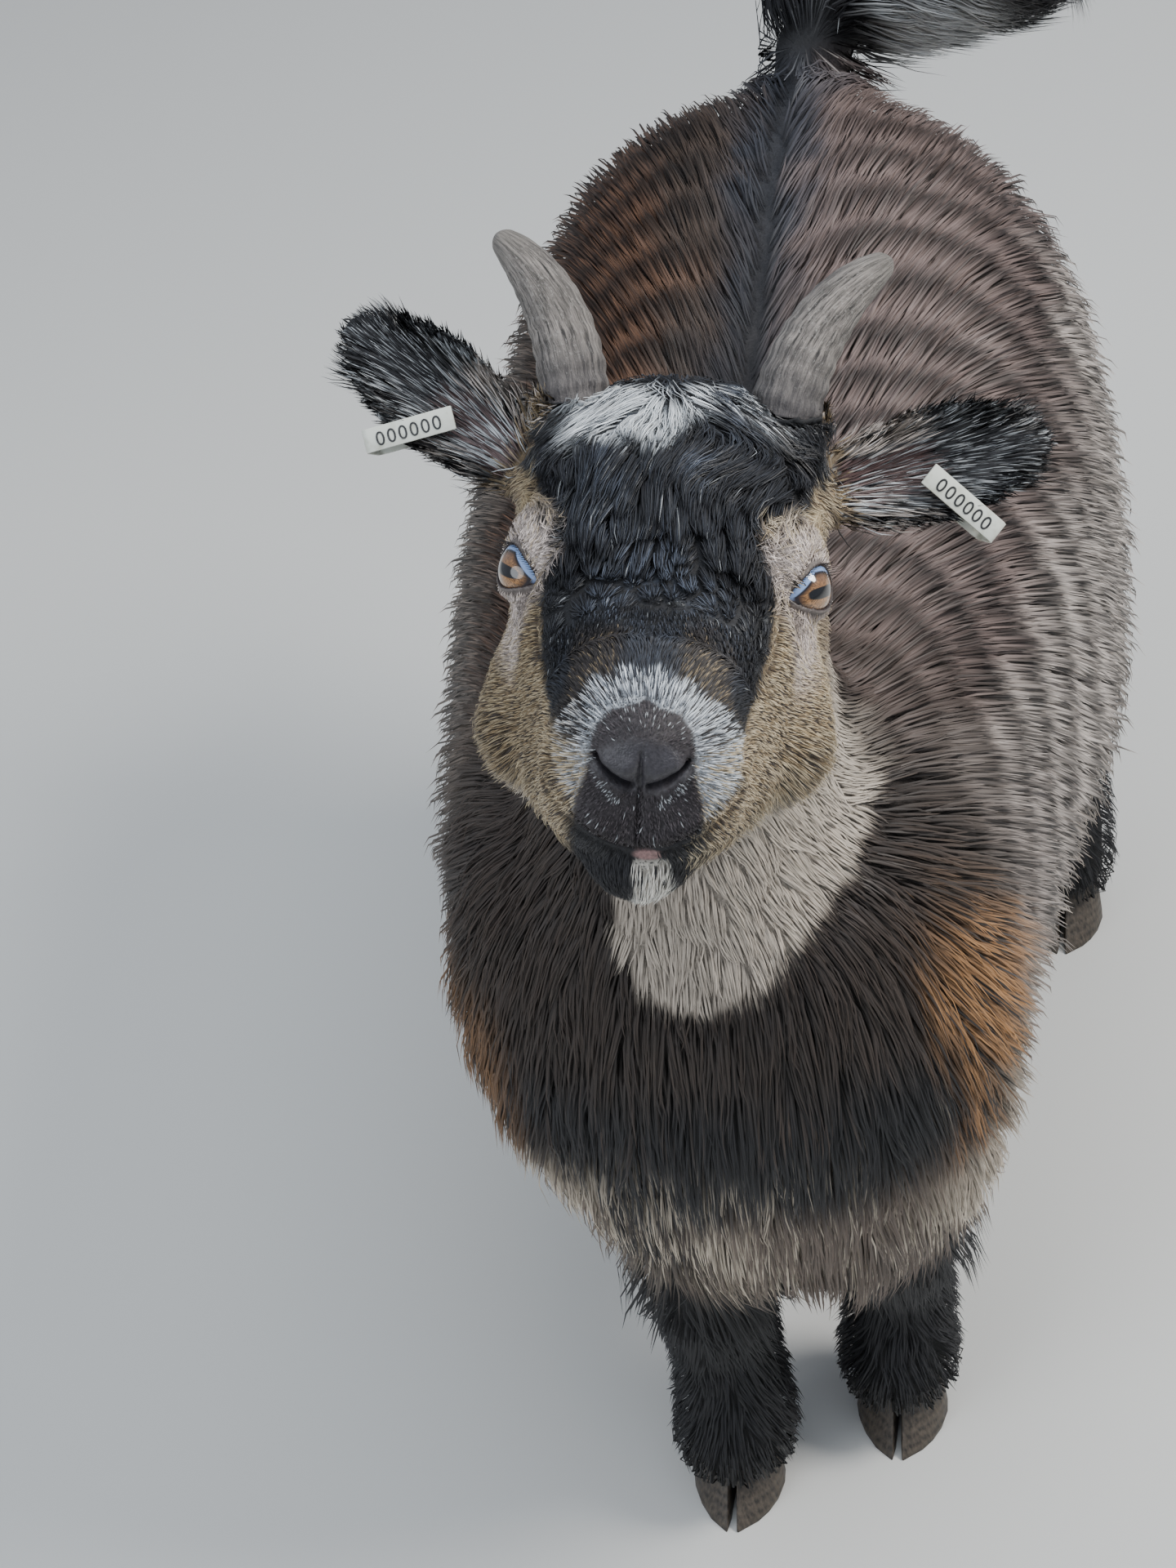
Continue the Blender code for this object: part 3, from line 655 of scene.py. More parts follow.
def ripple_phase(body):
    """Rows of the flank's hair, counted from the chest to the tail."""
    s, turn = round_trunk(body)
    across = np.abs(s)
    right = 0.35 * across + 4.6 * np.clip(across - 0.04, 0, 0.10) ** 2 - 0.25 * (body[:, 2] - 0.40)
    left = np.interp(turn, *ROW_LEAN)
    left = left + 0.0017 * (np.clip(turn, 33, 52) - 33) * ramp(body[:, 1], 0.24, 0.08)
    rows = body[:, 1] + mixed(right, left, ramp(s, -0.010, 0.010))
    rows = rows + 0.016 * (noise(body, 0.060, 5) - 0.5) + 0.0035 * (noise(body, 0.022, 6) - 0.5)
    return rows / bpy.context.scene.goat_coat.ripple


def crest(phase):
    """1 on the pale edge of a row of hair, falling slowly behind it."""
    part = phase - np.floor(phase)
    return np.where(part < 0.62, ramp(part, 0, 0.62), ramp(part, 1.0, 0.62))


def paint_body(points, draw):
    """Root and tip colours of hair on the neck, trunk, legs and tail."""
    b = in_body(points)
    x, y, z = b.T
    s, round_turn = round_trunk(b)
    across = np.abs(s)
    patch = noise(b, 0.040, 11) - 0.5
    fine = noise(b, 0.012, 12) - 0.5
    # left flank: mauve above, silver at the side; right flank: rust above, taupe at the side
    turn = round_turn + 22 * patch + 8 * fine
    ahead = ramp(y, 0.17, 0.07)
    left = mixed(MAUVE, SILVER, ramp(turn + 8 * ahead, 42, 66) * (1 - 0.40 * ahead))
    left = mixed(left, TAUPE, ramp(turn, 88, 112))
    rusty = ramp(turn, 8, 22) * ramp(y + 0.05 * patch, 0.44, 0.37)
    right = mixed(UMBER * 0.9, RUST, rusty)
    right = mixed(right, TAUPE * 0.9, ramp(turn + 10 * ahead, 38, 56))
    right = mixed(right, CREAM * 0.85, ramp(turn, 88, 112))
    tip = mixed(right, left, ramp(s, -0.010, 0.010))
    # the rows: tips paler on each crest and darker in the troughs between, partly darker hair and partly
    # painted shade
    row = crest(ripple_phase(b)) ** np.where(s < 0, 1.8, 1.25)
    contrast = ramp(round_turn, 5, 17) * ramp(round_turn, 125, 95)
    contrast = contrast * ramp(y, 0.03, 0.09) * ramp(y, 0.47, 0.40)
    shade = 1.18 - contrast * 1.04 * (1 - row) - (1 - contrast) * 0.30 * (1 - row)
    shade = shade * (0.88 + 0.20 * draw[:, 0])
    tip = tip * shade[:, None]
    # roots darker than tips, partly darker hair and partly painted shade deep in the coat
    root = mixed(tip * 0.30 + SOOT * 0.5, tip * 0.66 + UMBER * 0.12, contrast)
    # grey-black line along the back, turning slate towards the rump partly as painted blue sheen, and dark
    # withers
    line = ramp(across + 0.020 * fine, 0.030, 0.006) * ramp(z, 0.34, 0.38)
    withers = ramp(y, 0.150, 0.060) * ramp(round_turn, 75, 40) * ramp(z, 0.33, 0.37)
    along_back = mixed(BLACK * 2.2, SLATE * 0.85, ramp(y + 0.08 * patch, 0.22, 0.40))
    tip = mixed(tip, along_back, 0.85 * line)
    root = mixed(root, BLACK, line)
    tip = mixed(tip, UMBER * 0.9, withers * 0.75)
    # chest and shoulders: near black with brown tips, down to the legs at one place
    parting = ramp(np.abs(x + 0.038), 0.028, 0.014)
    low_edge = 0.243 - 0.060 * parting + 0.020 * patch
    forearm = 0.9 * ramp(y, 0.085, 0.045) * ramp(z, 0.285, 0.255) * ramp(z, 0.13, 0.15)
    tip = mixed(tip, UMBER * 1.7, forearm)
    chest = ramp(y, 0.055, 0.020) * ramp(z, low_edge, low_edge + 0.026)
    brown = ramp(draw[:, 1] + patch, 0.85, 1.1)
    near_black = mixed(BLACK * 1.3, UMBER * 1.2, brown)
    root, tip = dyed(root, tip, BLACK, near_black, chest)
    # dark band from the chest up beside the bib
    band = ramp(y, 0.085, 0.045) * ramp(round_turn, 100, 80) * ramp(z, 0.30, 0.33) * ramp(z, 0.455, 0.43)
    tip = mixed(tip, UMBER * (0.35 + 0.55 * draw[:, 1:2]), band * 0.88)
    root = mixed(root, SOOT, band)
    # tan patch on the shoulders, strong on the left
    tan = ramp(s + 0.02 * fine, 0.074, 0.094) * ramp(z + 0.05 * patch, 0.255, 0.282)
    tan = tan * ramp(y + 0.05 * patch + 0.03 * fine, 0.070, 0.020)
    tan = tan * ramp(z + 0.03 * patch, 0.372, 0.342)
    tan_right = 0.45 * ramp(s, -0.060, -0.082) * ramp(y, 0.060, 0.030)
    tan_right = tan_right * ramp(z, 0.24, 0.27) * ramp(z, 0.345, 0.310)
    tan = (tan + tan_right) * (draw[:, 2] < 0.85)
    root, tip = dyed(root, tip, UMBER * 0.8, ORANGE * (0.7 + 0.5 * draw[:, 1:2]), tan)
    # pale skirt under the chest, and belly
    skirt = ramp(z + 0.03 * fine + 0.045 * patch, 0.278, 0.226) * ramp(z, 0.135, 0.150)
    skirt = skirt * (1 - 0.6 * ramp(y, 0.10, 0.30) * ramp(z, 0.16, 0.22))
    pale = mixed(np.interp(x, *SKIRT_SHARE), 0.80, ramp(y, 0.05, 0.12))
    skirt = skirt * (draw[:, 1] < pale * (1 + 0.9 * patch))
    root, tip = dyed(root, tip, UMBER * 2.2, CREAM * (0.92 + 0.4 * draw[:, 2:3]), skirt * ramp(y, 0.36, 0.28))
    # bib
    bib = bib_share(b, fine)
    root, tip = dyed(root, tip, BIB * 0.80, BIB * (0.88 + 0.3 * draw[:, 2:3]), bib)
    # rump and thighs darken towards the black legs
    haunch = ramp(y, 0.33, 0.43) * ramp(z, 0.36, 0.24)
    tip = mixed(tip, UMBER * 0.8, haunch * 0.75)
    legs = leg_share(b, (0.180, 0.156), (0.205, 0.165), patch)
    root, tip = dyed(root, tip, BLACK * 0.8, BLACK * 1.1, legs)
    tuft = legs * ramp(z, 0.072, 0.086) * ramp(z, 0.115, 0.100) * ramp(y, 0.30, 0.34)
    tip = mixed(tip, TAUPE, tuft * (draw[:, 2] < 0.35))
    # tail: black, with white low on its left
    tail = tail_share(b, -0.006, 0.004)
    root, tip = dyed(root, tip, BLACK, BLACK * 1.2, tail)
    under = np.maximum(tail, ramp(y, 0.455, 0.475) * ramp(z, 0.440, 0.460))
    under = under * ramp(s, 0.034, 0.050) * ramp(z - 0.20 * np.clip(x, 0, 0.06), 0.498, 0.488)
    under = under * ramp(x, 0.075, 0.055)
    root, tip = dyed(root, tip, CREAM * 0.7, WHITE, under)
    return root, tip


def paint_ear(points, normals, draw):
    """Root and tip colours of hair on the ears."""
    root = np.tile(BLACK, (len(points), 1))
    tip = np.tile(BLACK * 1.3, (len(points), 1))
    for matrix in EARS.values():
        e = into(matrix, points)
        near = near_ear(e)
        front = near & (normals @ np.array(matrix)[:3, 2] > 0.1)
        high = e[:, 1] * (1 if matrix is EARS["left"] else -1)
        streak = front & (draw[:, 0] < 0.42 - 2.0 * np.clip(e[:, 0] - 0.055, 0, 1))
        tip[streak] = WHITE * 0.66
        root[streak] = WHITE * 0.22
        rim = near & (np.abs(e[:, 1]) > 0.014) & (draw[:, 1] < 0.16)
        tip[rim] = WHITE * 0.5
        upper = near & (high > 0.0105) & (e[:, 0] < 0.038 + 0.010 * draw[:, 2]) & (draw[:, 1] < 0.85)
        tip[upper] = SILVER * 0.95
        root[upper] = TAUPE * 0.5
        lower = near & (high < -0.011) & (e[:, 0] < 0.046) & (draw[:, 1] < 0.55)
        tip[lower] = SILVER * 0.62
        root[lower] = SOOT
        base = near & (e[:, 0] < 0.013 + 0.004 * draw[:, 2]) & (draw[:, 1] < 0.75)
        tip[base] = GOLD * 0.7
        root[base] = UMBER
        # the middle of the hollow is the inner skin's pink darkened as painted shade
        inside = front & (np.abs(e[:, 1]) < 0.009) & (e[:, 0] > 0.010) & (e[:, 0] < 0.046)
        root[inside & ~streak] = PINK * 0.35
        tip[inside & ~streak] = PINK * 0.14
    return root, tip


# -------- regions of the skin
def region_of(points):
    """0 for the body, 1 for the head, 2 for the ears."""
    b = in_body(points)
    label = (above(b, HEAD_CUT) > 0).astype(int)
    for matrix in EARS.values():
        e = into(matrix, points)
        leaf = (e[:, 0] > 0.006) & (e[:, 0] < EAR_LENGTH + 0.01) & (np.abs(e[:, 1]) < 0.030)
        label[leaf & (np.abs(e[:, 2]) < 0.020)] = 2
    return label


def paint(points, normals, draw):
    """Root and tip colours of hair anywhere on the goat."""
    label = region_of(points)
    b = in_body(points)
    root, tip = paint_body(points, draw)
    head_root, head_tip = paint_head(points, draw)
    on_head = ramp(above(b, HEAD_CUT), -0.006, 0.008)
    root = mixed(root, head_root, on_head)
    tip = mixed(tip, head_tip, on_head)
    ear_root, ear_tip = paint_ear(points, normals, draw)
    ears = label == 2
    root[ears] = ear_root[ears]
    tip[ears] = ear_tip[ears]
    return np.clip(root, 0.004, 1), np.clip(tip, 0.004, 1)


# -------- lie of the coat
def head_flow(points):
    """Direction in which the hair of the head lies."""
    h = in_head(points)
    x, f, z = h.T
    side, side_way = np.sign(x), np.abs(x)
    flow = columns(0.30 * side, -0.75, -0.55)
    # the forelock fans forward, parts to the sides further back, and runs back behind the horns
    fan = 9.0 * x * ramp(side_way, 0.026, 0.012) - 10.0 * x * ramp(side_way, 0.020, 0.034)
    crown = columns(fan, 1.0, -0.35)
    whorl = np.exp(-(((x - 0.017) / 0.012) ** 2 + ((f + 0.010) / 0.014) ** 2))
    crown = crown + columns(-0.9 * whorl, 0, 0)
    away = np.clip((x + 0.003) / 0.008, -1, 1)
    sweep = columns(away, 0.55 + 18 * np.clip(x - 0.016, 0, 0.03), -0.5 * np.abs(away))
    crown = mixed(crown, sweep, ramp(f, -0.022, -0.031))
    crown = mixed(crown, columns(0.2 * side, -1.0, -0.3), ramp(f, -0.049, -0.055))
    edge = mask_edge(h)
    brow = ramp(z, 0.006, 0.012) * ramp(f, 0.034, 0.020) * ramp(f, -0.035, -0.020)
    brow = 0.8 * brow * ramp(z, edge - 0.001, edge - 0.007)
    flow = mixed(flow, columns(-0.25 * side, -0.55, 0.80), brow)
    top = ramp(z, edge - 0.002, edge + 0.005) * ramp(f, 0.070, 0.060)
    flow = mixed(flow, crown, top)
    # out from the nose, down the chin and away from each eye
    nose = columns(x, f - 0.106, z + 0.016)
    mouth = mouth_height(side_way)
    flow = mixed(flow, unit(nose), ramp(f, 0.060, 0.078) * ramp(z, mouth - 0.001, mouth + 0.004))
    flow = mixed(flow, (0, 0.25, -1.0), ramp(f, 0.060, 0.075) * ramp(z, -0.050, -0.054))
    eye = columns(0.2 * (x - side * 0.0495), f - 0.010, z - 0.004)
    flow = mixed(unit(flow), unit(eye), ramp(eye_measure(h), 0.027, 0.017))
    wave = (noise(points, 0.018, 31) - 0.5) * 0.45
    return turned(HEAD, (flow + columns(wave, 0, 0)) * (1, -1, 1))


def body_flow(points):
    """Direction in which the hair of the neck, trunk, legs and tail lies."""
    b = in_body(points)
    x, y, z = b.T
    s, round_turn = round_trunk(b)
    over = ramp(round_turn, 45, 12)
    flow = columns(0.45 * np.sign(s) * over, 0.62 + 0.35 * over, -0.78 * (1 - over))
    flow = mixed(flow, (0, 0.06, -1.0), ramp(y, 0.050, -0.020))
    flow = mixed(flow, (0, 0.35, -0.95), ramp(above(b, NECK_CUT), -0.02, 0.03))
    flow = mixed(flow, (0, 0.15, -1.0), ramp(y, 0.42, 0.47))
    flow = mixed(flow, (0, 0.22, -1.0), ramp(z, 0.22, 0.15))
    out = ramp(x, -0.035, 0.010)
    way = columns(out, 0.6 * (1 - out), 0.55 - 0.75 * out)
    flow = mixed(flow, way, tail_share(b, -0.004, 0.006))
    swirl = (noise(b, 0.030, 21) - 0.5) * 0.5
    return flow + np.cross(flow, np.array((0.6, 0.0, 0.6))) * swirl[:, None]


def ear_flow(points):
    """Direction in which the hair of the ears lies: to the tip, and outwards at the edges."""
    flow = np.zeros_like(points)
    for matrix in EARS.values():
        e = into(matrix, points)
        near = np.linalg.norm(e - (0.04, 0, 0), axis=1) < 0.07
        flow[near] = turned(matrix, columns(1.0, e[:, 1] / 0.022, 0))[near]
    return flow


def flow_of(points):
    """Direction in which the hair lies."""
    b = in_body(points)
    flow = mixed(unit(body_flow(points)), unit(head_flow(points)), ramp(above(b, HEAD_CUT), -0.012, 0.012))
    ears = region_of(points) == 2
    flow[ears] = ear_flow(points[ears])
    return unit(flow)


# -------- skin
LID_WIDTH, LID_TOP, LID_LOW = 0.0097, 0.0074, 0.0056  # half sizes of the opening
LID_TAPER = 0.30  # how much lower the opening is at its inner corner
EYE_HOLLOW, LID_STAND = 0.0022, 0.0004  # skin under the eyeball's surface, and lids over it
# lines on the muzzle: the nostril, its upper wing and its lower edge, outwards and up
NOSTRIL = [(0.0030, -0.0272), (0.0080, -0.0246), (0.0128, -0.0200), (0.0140, -0.0180)]
NOSTRIL_WING = [(0.0045, -0.0215), (0.0095, -0.0190)]
NOSTRIL_EDGE = [(0.0060, -0.0295), (0.0130, -0.0235)]
SWELL = 0.0007  # by which the solids are grown, so that they join over the cuts between them
KEPT_SHARE = 0.19  # of the skin's faces. Only the body is thinned.
SKIN_SEED = 5


def coat_depth(points):
    """How deep the skin lies under the solids' surface."""
    settings = bpy.context.scene.goat_skin
    b = in_body(points)
    x, y, z = b.T
    depth = settings.body_depth - 0.0045 * row_share(points)
    depth = depth + 0.002 * ramp(y, 0.02, -0.03) * ramp(z, 0.40, 0.34)
    depth = mixed(depth, 0.0110, ramp(above(b, NECK_CUT), -0.02, 0.05))
    depth = mixed(depth, settings.leg_depth, leg_share(b, (0.200, 0.130), (0.250, 0.150)))
    depth = mixed(depth, 0.002 + 0.006 * ramp(x, 0.095, 0.035), tail_share(b, -0.006, 0.008))
    h = in_head(points)
    crown = ramp(np.abs(h[:, 0]), 0.046, 0.034) * ramp(h[:, 2], 0.004, 0.020) * ramp(h[:, 1], 0.06, 0.03)
    head = mixed(settings.head_depth + 0.0016 * crown, 0.0012, ramp(h[:, 1], 0.070, 0.090))
    depth = mixed(depth, head, ramp(above(b, HEAD_CUT), -0.014, 0.020))
    depth[region_of(points) == 2] = 0.0009
    return depth


def join_meshes(meshes, name):
    """One mesh of all these. They are removed."""
    bm = bmesh.new()
    for mesh in meshes:
        bm.from_mesh(mesh)
        bpy.data.meshes.remove(mesh)
    return freed(bm, name)


def add_smooth(obj, iterations, weights):
    """A Smooth modifier that works by these weights, taken in tenths."""
    group = obj.vertex_groups.new(name=f"smooth_{iterations}")
    for level in range(1, 11):
        chosen = np.flatnonzero(np.round(weights * 10) == level)
        if len(chosen):
            group.add(chosen.tolist(), level / 10, "REPLACE")
    smooth = obj.modifiers.new("Smooth", "SMOOTH")
    smooth.factor = 0.5
    smooth.iterations = iterations
    smooth.vertex_group = group.name


def eye_axes(sign):
    """Axes of an eye's opening in the row frame: towards the nose, up and out."""
    out = Vector((sign * EYE_GAZE.x, EYE_GAZE.y, EYE_GAZE.z))
    ahead = Vector((sign * EYE_GAZE.y, -EYE_GAZE.x, 0)).normalized()
    up = out.cross(ahead) * (1 if out.cross(ahead).z > 0 else -1)
    return [HEAD_TURN @ axis for axis in (ahead, up, out)]


def eye_middle(side):
    """Middle of an eyeball in the row frame."""
    return middle(f"eye_{side}") + HEAD_TURN @ Vector((SIDES[side] * EYE_OUT, 0, 0))


def lid_measure(ahead, up):
    """1 on the edge of the opening between the lids, in the eye's own axes."""
    taper = 1 - LID_TAPER * np.clip(ahead / LID_WIDTH, -1.5, 1.5)
    height = np.where(up > 0, LID_TOP, LID_LOW) * taper
    return np.sqrt(np.abs(ahead / LID_WIDTH) ** 1.8 + np.abs(up / height) ** 2.0)


def shape_lids(points):
    """Sinks the skin behind the eyeball inside the opening, and raises lids round it."""
    for side, sign in SIDES.items():
        ahead_axis, up_axis, out_axis = (np.array(a) for a in eye_axes(sign))
        away = points - np.array(eye_middle(side))
        ahead, up, out = away @ ahead_axis, away @ up_axis, away @ out_axis
        a = lid_measure(ahead, up)
        ball = np.sqrt(np.maximum(EYE_RADIUS ** 2 - ahead ** 2 - up ** 2, (0.35 * EYE_RADIUS) ** 2))
        inside = ball - EYE_HOLLOW
        margin = ball + LID_STAND + 0.0007 * ramp(a, 1.0, 1.14)
        crease = 0.0008 * np.exp(-((a - 1.50) / 0.12) ** 2) * (up > 0)
        lid = np.where(a < 0.96, inside, inside + (margin - inside) * ramp(a, 0.96, 1.02))
        blend = ramp(a, 1.20, 2.2)
        target = (lid - crease) * (1 - blend) + (out - crease) * blend
        near = (a < 2.5) & (out > 0) & (np.linalg.norm(away, axis=1) < 0.030)
        points[near] += (target - out)[near, None] * out_axis
    return points


def stretch_to(values, line):
    """Distance from each point of the plane to a line of points."""
    best = np.full(len(values), 9.0)
    for first, second in zip(line, line[1:]):
        a, b = np.array(first), np.array(second)
        run = b - a
        share = np.clip((values - a) @ run / (run @ run), 0, 1)
        best = np.minimum(best, np.linalg.norm(values - a - share[:, None] * run, axis=1))
    return best


def shape_muzzle(points, normals):
    """Nostrils, the groove under them, the edge of the nose pad and the mouth."""
    h = in_head(points)
    x, f, z = h.T
    side = np.abs(x)
    front = ramp(f, 0.080, 0.088)
    slit = stretch_to(columns(side, z), NOSTRIL)
    wide = 0.0011 - 0.0004 * ramp(side, 0.006, 0.013)
    move = -0.0034 * np.exp(-((slit / wide) ** 2)) * front
    wing = stretch_to(columns(side, z), NOSTRIL_WING)
    move += 0.0021 * np.exp(-((wing / 0.0033) ** 2)) * front
    lower = stretch_to(columns(side, z), NOSTRIL_EDGE)
    move += 0.0009 * np.exp(-((lower / 0.0020) ** 2)) * front
    groove = front * ramp(z, -0.0125, -0.0165) * ramp(z, -0.0480, -0.0455)
    move -= 0.0014 * np.exp(-((side / 0.0008) ** 2)) * groove
    puff = np.exp(-(((side - 0.011) / 0.009) ** 2 + ((z + 0.039) / 0.008) ** 2))
    move += 0.0014 * puff * front
    gap = z - mouth_height(side)
    along = ramp(f, 0.058, 0.070)
    move -= 0.0026 * np.exp(-((gap / 0.0008) ** 2)) * along
    move += 0.0010 * np.exp(-(((gap - 0.0034) / 0.0024) ** 2)) * along
    jaw = ramp(z, -0.030, -0.050) * ramp(f, -0.010, 0.020) * ramp(f, 0.092, 0.070) * ramp(side, 0.012, 0.022)
    move += 0.0022 * jaw
    return points + normals * move[:, None]


def subdivide_near(mesh, chosen):
    """Splits the edges between the chosen points."""
    bm = bmesh.new()
    bm.from_mesh(mesh)
    bm.verts.ensure_lookup_table()
    edges = [e for e in bm.edges if chosen[e.verts[0].index] and chosen[e.verts[1].index]]
    bmesh.ops.subdivide_edges(bm, edges=edges, cuts=1, use_grid_fill=True)
    bmesh.ops.triangulate(bm, faces=[p for p in bm.faces if len(p.verts) > 3])
    bm.to_mesh(mesh)
    bm.free()


def near_details(points, reach):
    """True near the eyes, and on the front of the muzzle."""
    h = in_head(points)
    muzzle = (h[:, 1] > 0.078 - reach) & (h[:, 2] > -0.058 - reach)
    eyes = np.zeros(len(points), bool)
    for side in SIDES:
        eyes |= np.linalg.norm(points - np.array(middle(f"eye_{side}")), axis=1) < 0.021 + reach
    return muzzle | eyes


def skin_material():
    """Skin in the coat's colours, pebbled and glossier where it is bare."""
    shader = Shader("skin", Roughness=0.62)
    coat = shader.attribute("Coat")
    bare = shader.attribute("Bare", 2)
    place = shader.place()
    grain = shader.node("TexNoise", Vector=place, Scale=900.0, Detail=3.0)
    pebble = shader.node("TexVoronoi", {"feature": "F1"}, Vector=place, Scale=1500.0)
    # under the hair the coat's colour is darkened as painted shade at the base of the coat; bare skin keeps
    # it
    colour = shader.mix(bare, shader.mix(1.0, coat, (0.8,) * 3, "MULTIPLY"), coat)
    shade = shader.node("ValToRGB", {"stops": [(0.3, (0.55,) * 3), (0.7, (1.1,) * 3)]}, Fac=grain)
    shader.set(Base_Color=shader.mix(1.0, colour, shade, "MULTIPLY"))
    shader.set(Roughness=0.72 - 0.30 * bare)
    shader.bump((1 - bare) * grain + bare * pebble * 0.4, 0.0005, 0.6)
    return shader.material


class GOAT_OT_skin(bpy.types.Operator):
    """Make one skin that lies inside the flesh by the depth of the coat"""

    bl_idname = "goat.skin"
    bl_label = "Skin"

    def execute(self, context):
        meshes = [copied(node, SWELL) for node in FLESH + ["eye_left", "eye_right"]]
        obj = link("skin", join_meshes(meshes, "skin"))
        remesh = obj.modifiers.new("Remesh", "REMESH")
        remesh.mode = "VOXEL"
        remesh.voxel_size = context.scene.goat_skin.voxel
        obj = baked(obj, "skin")
        points = points_of(obj.data)
        body = 1 - ramp(above(in_body(points), HEAD_CUT), -0.01, 0.02)
        on_ears = region_of(points) == 2
        add_smooth(obj, 24, body)
        add_smooth(obj, 5, 0.8 * (1 - body) * ~on_ears)
        add_smooth(obj, 2, 1.0 * on_ears)
        obj = baked(obj, "skin")
        points = points_of(obj.data)
        points -= normals_of(obj.data) * (coat_depth(points) + SWELL)[:, None]
        set_points(obj.data, points)
        add_smooth(obj, 14, 1 - ramp(above(in_body(points), HEAD_CUT), -0.01, 0.02))
        thinned = obj.vertex_groups.new(name="thin")
        on_body = np.flatnonzero(above(in_body(points), HEAD_CUT) < -0.012)
        thinned.add(on_body.tolist(), 1.0, "REPLACE")
        thin = obj.modifiers.new("Thin", "DECIMATE")
        thin.ratio = KEPT_SHARE
        thin.vertex_group = thinned.name
        thin.use_collapse_triangulate = True
        obj = baked(obj, "skin")
        obj.vertex_groups.clear()
        subdivide_near(obj.data, near_details(points_of(obj.data), 0.004))
        subdivide_near(obj.data, near_details(points_of(obj.data), 0.0))
        points = shape_muzzle(points_of(obj.data), normals_of(obj.data))
        set_points(obj.data, shape_lids(points))
        points, normals = points_of(obj.data), normals_of(obj.data)
        draws = np.random.default_rng(SKIN_SEED).random((len(points), 3))
        root, tip = paint(points, normals, draws)
        h = in_head(points)
        pad = ramp(pad_measure(h) + 0.25 * (draws[:, 0] - 0.5), 1.20, 0.80) * nose_share(h)
        gap = h[:, 2] - mouth_height(np.abs(h[:, 0]))
        lip = np.exp(-((gap / 0.0011) ** 2)) * ramp(h[:, 1], 0.080, 0.090)
        pink = ramp(np.hypot(h[:, 0] - 0.0035, (h[:, 2] + 0.0512) * 2.2), 0.0058, 0.0030)
        pink = pink * ramp(h[:, 1], 0.088, 0.092)
        bare = np.clip(pad + lip + pink, 0, 1)
        colours = mixed(root * 0.5 + tip * 0.5, LIP, nose_share(h) * 0.8)
        colours = mixed(mixed(colours, PAD, pad), PINK, pink)
        for side, sign in SIDES.items():
            ahead_axis, up_axis = (np.array(a) for a in eye_axes(sign)[:2])
            away = points - np.array(eye_middle(side))
            a = lid_measure(away @ ahead_axis, away @ up_axis)
            near = np.linalg.norm(away, axis=1) < 0.026
            lid = ramp(a, 1.17, 1.08) * near
            colours = mixed(colours, ROSE * 0.30, ramp(a, 1.7, 1.4) * near)
            colours = mixed(colours, (0.026, 0.014, 0.013), lid)
            bare = np.maximum(bare, ramp(a, 1.22, 1.12) * near)
        write_colours(obj.data, colours)
        write_values(obj.data, "Bare", bare)
        finish_piece(obj, skin_material(), FLESH)
        return {"FINISHED"}


# -------- eyes
IRIS_HALF = (0.66, 0.455)  # half width and half height of the iris, as shares of the eyeball's radius


def eye_material():
    """An iris with spokes and a level slot, and a painted blue reflection of the sky on the white above it.
    """
    colours = bpy.context.scene.goat_colours
    shader = Shader("eye", Roughness=0.15, Coat_Weight=1.0, Coat_Roughness=0.02)
    gaze = shader.attribute("Gaze", 1)
    x = shader.node("SeparateXYZ", Vector=gaze)
    y = Value(shader, x.socket.node.outputs[1])
    away = (x * x + y * y).call("SQRT")
    turn = y.call("ARCTAN2", x)
    spokes = shader.node("TexNoise", {"noise_dimensions": "2D"},
                         Vector=shader.node("CombineXYZ", X=turn * 7.0, Y=away * 6.0), Scale=2.0, Detail=4.0)
    dark = tuple(c * 0.35 for c in colours.iris)
    light = tuple(min(1.0, c * 1.5) for c in colours.iris)
    iris = shader.mix(spokes.rise(0.35, 0.68), dark, light)
    across = (x + 0.01) / IRIS_HALF[0]
    high = (y + 0.01) / IRIS_HALF[1]
    reach = (across * across + high * high).call("SQRT")
    reach = reach.call("MAXIMUM", 1.0 + (x * 0.60 + y * 0.80 - 0.390) * 2.6)
    iris = shader.mix(y.rise(0.05, 0.32) * 0.6, iris, (0.125, 0.070, 0.050))
    iris = shader.mix((reach - 0.78).rise(0.0, 0.22), iris, (0.060, 0.030, 0.014))
    slot = ((abs(x + 0.03) / 0.46) ** 3.0 + (abs(y + 0.01) / 0.142) ** 3.0) - 1.0
    iris = shader.mix(slot.rise(-0.15, 0.25), (0.003, 0.003, 0.004), iris)
    # painted reflection of the sky, over the upper part of the eye's white
    upper = (x * 0.18 + y).rise(0.02, 0.16)
    painted_sky_reflection = shader.mix(spokes * 0.5, (0.27, 0.42, 0.76), (0.40, 0.56, 0.88))
    white = shader.mix(upper, (0.030, 0.016, 0.012), painted_sky_reflection)
    rim = shader.mix((reach - 0.97).rise(0.0, 0.05), iris, (0.016, 0.010, 0.012))
    shader.set(Base_Color=shader.mix((reach - 1.09).rise(0.0, 0.07), rim, white))
    return shader.material


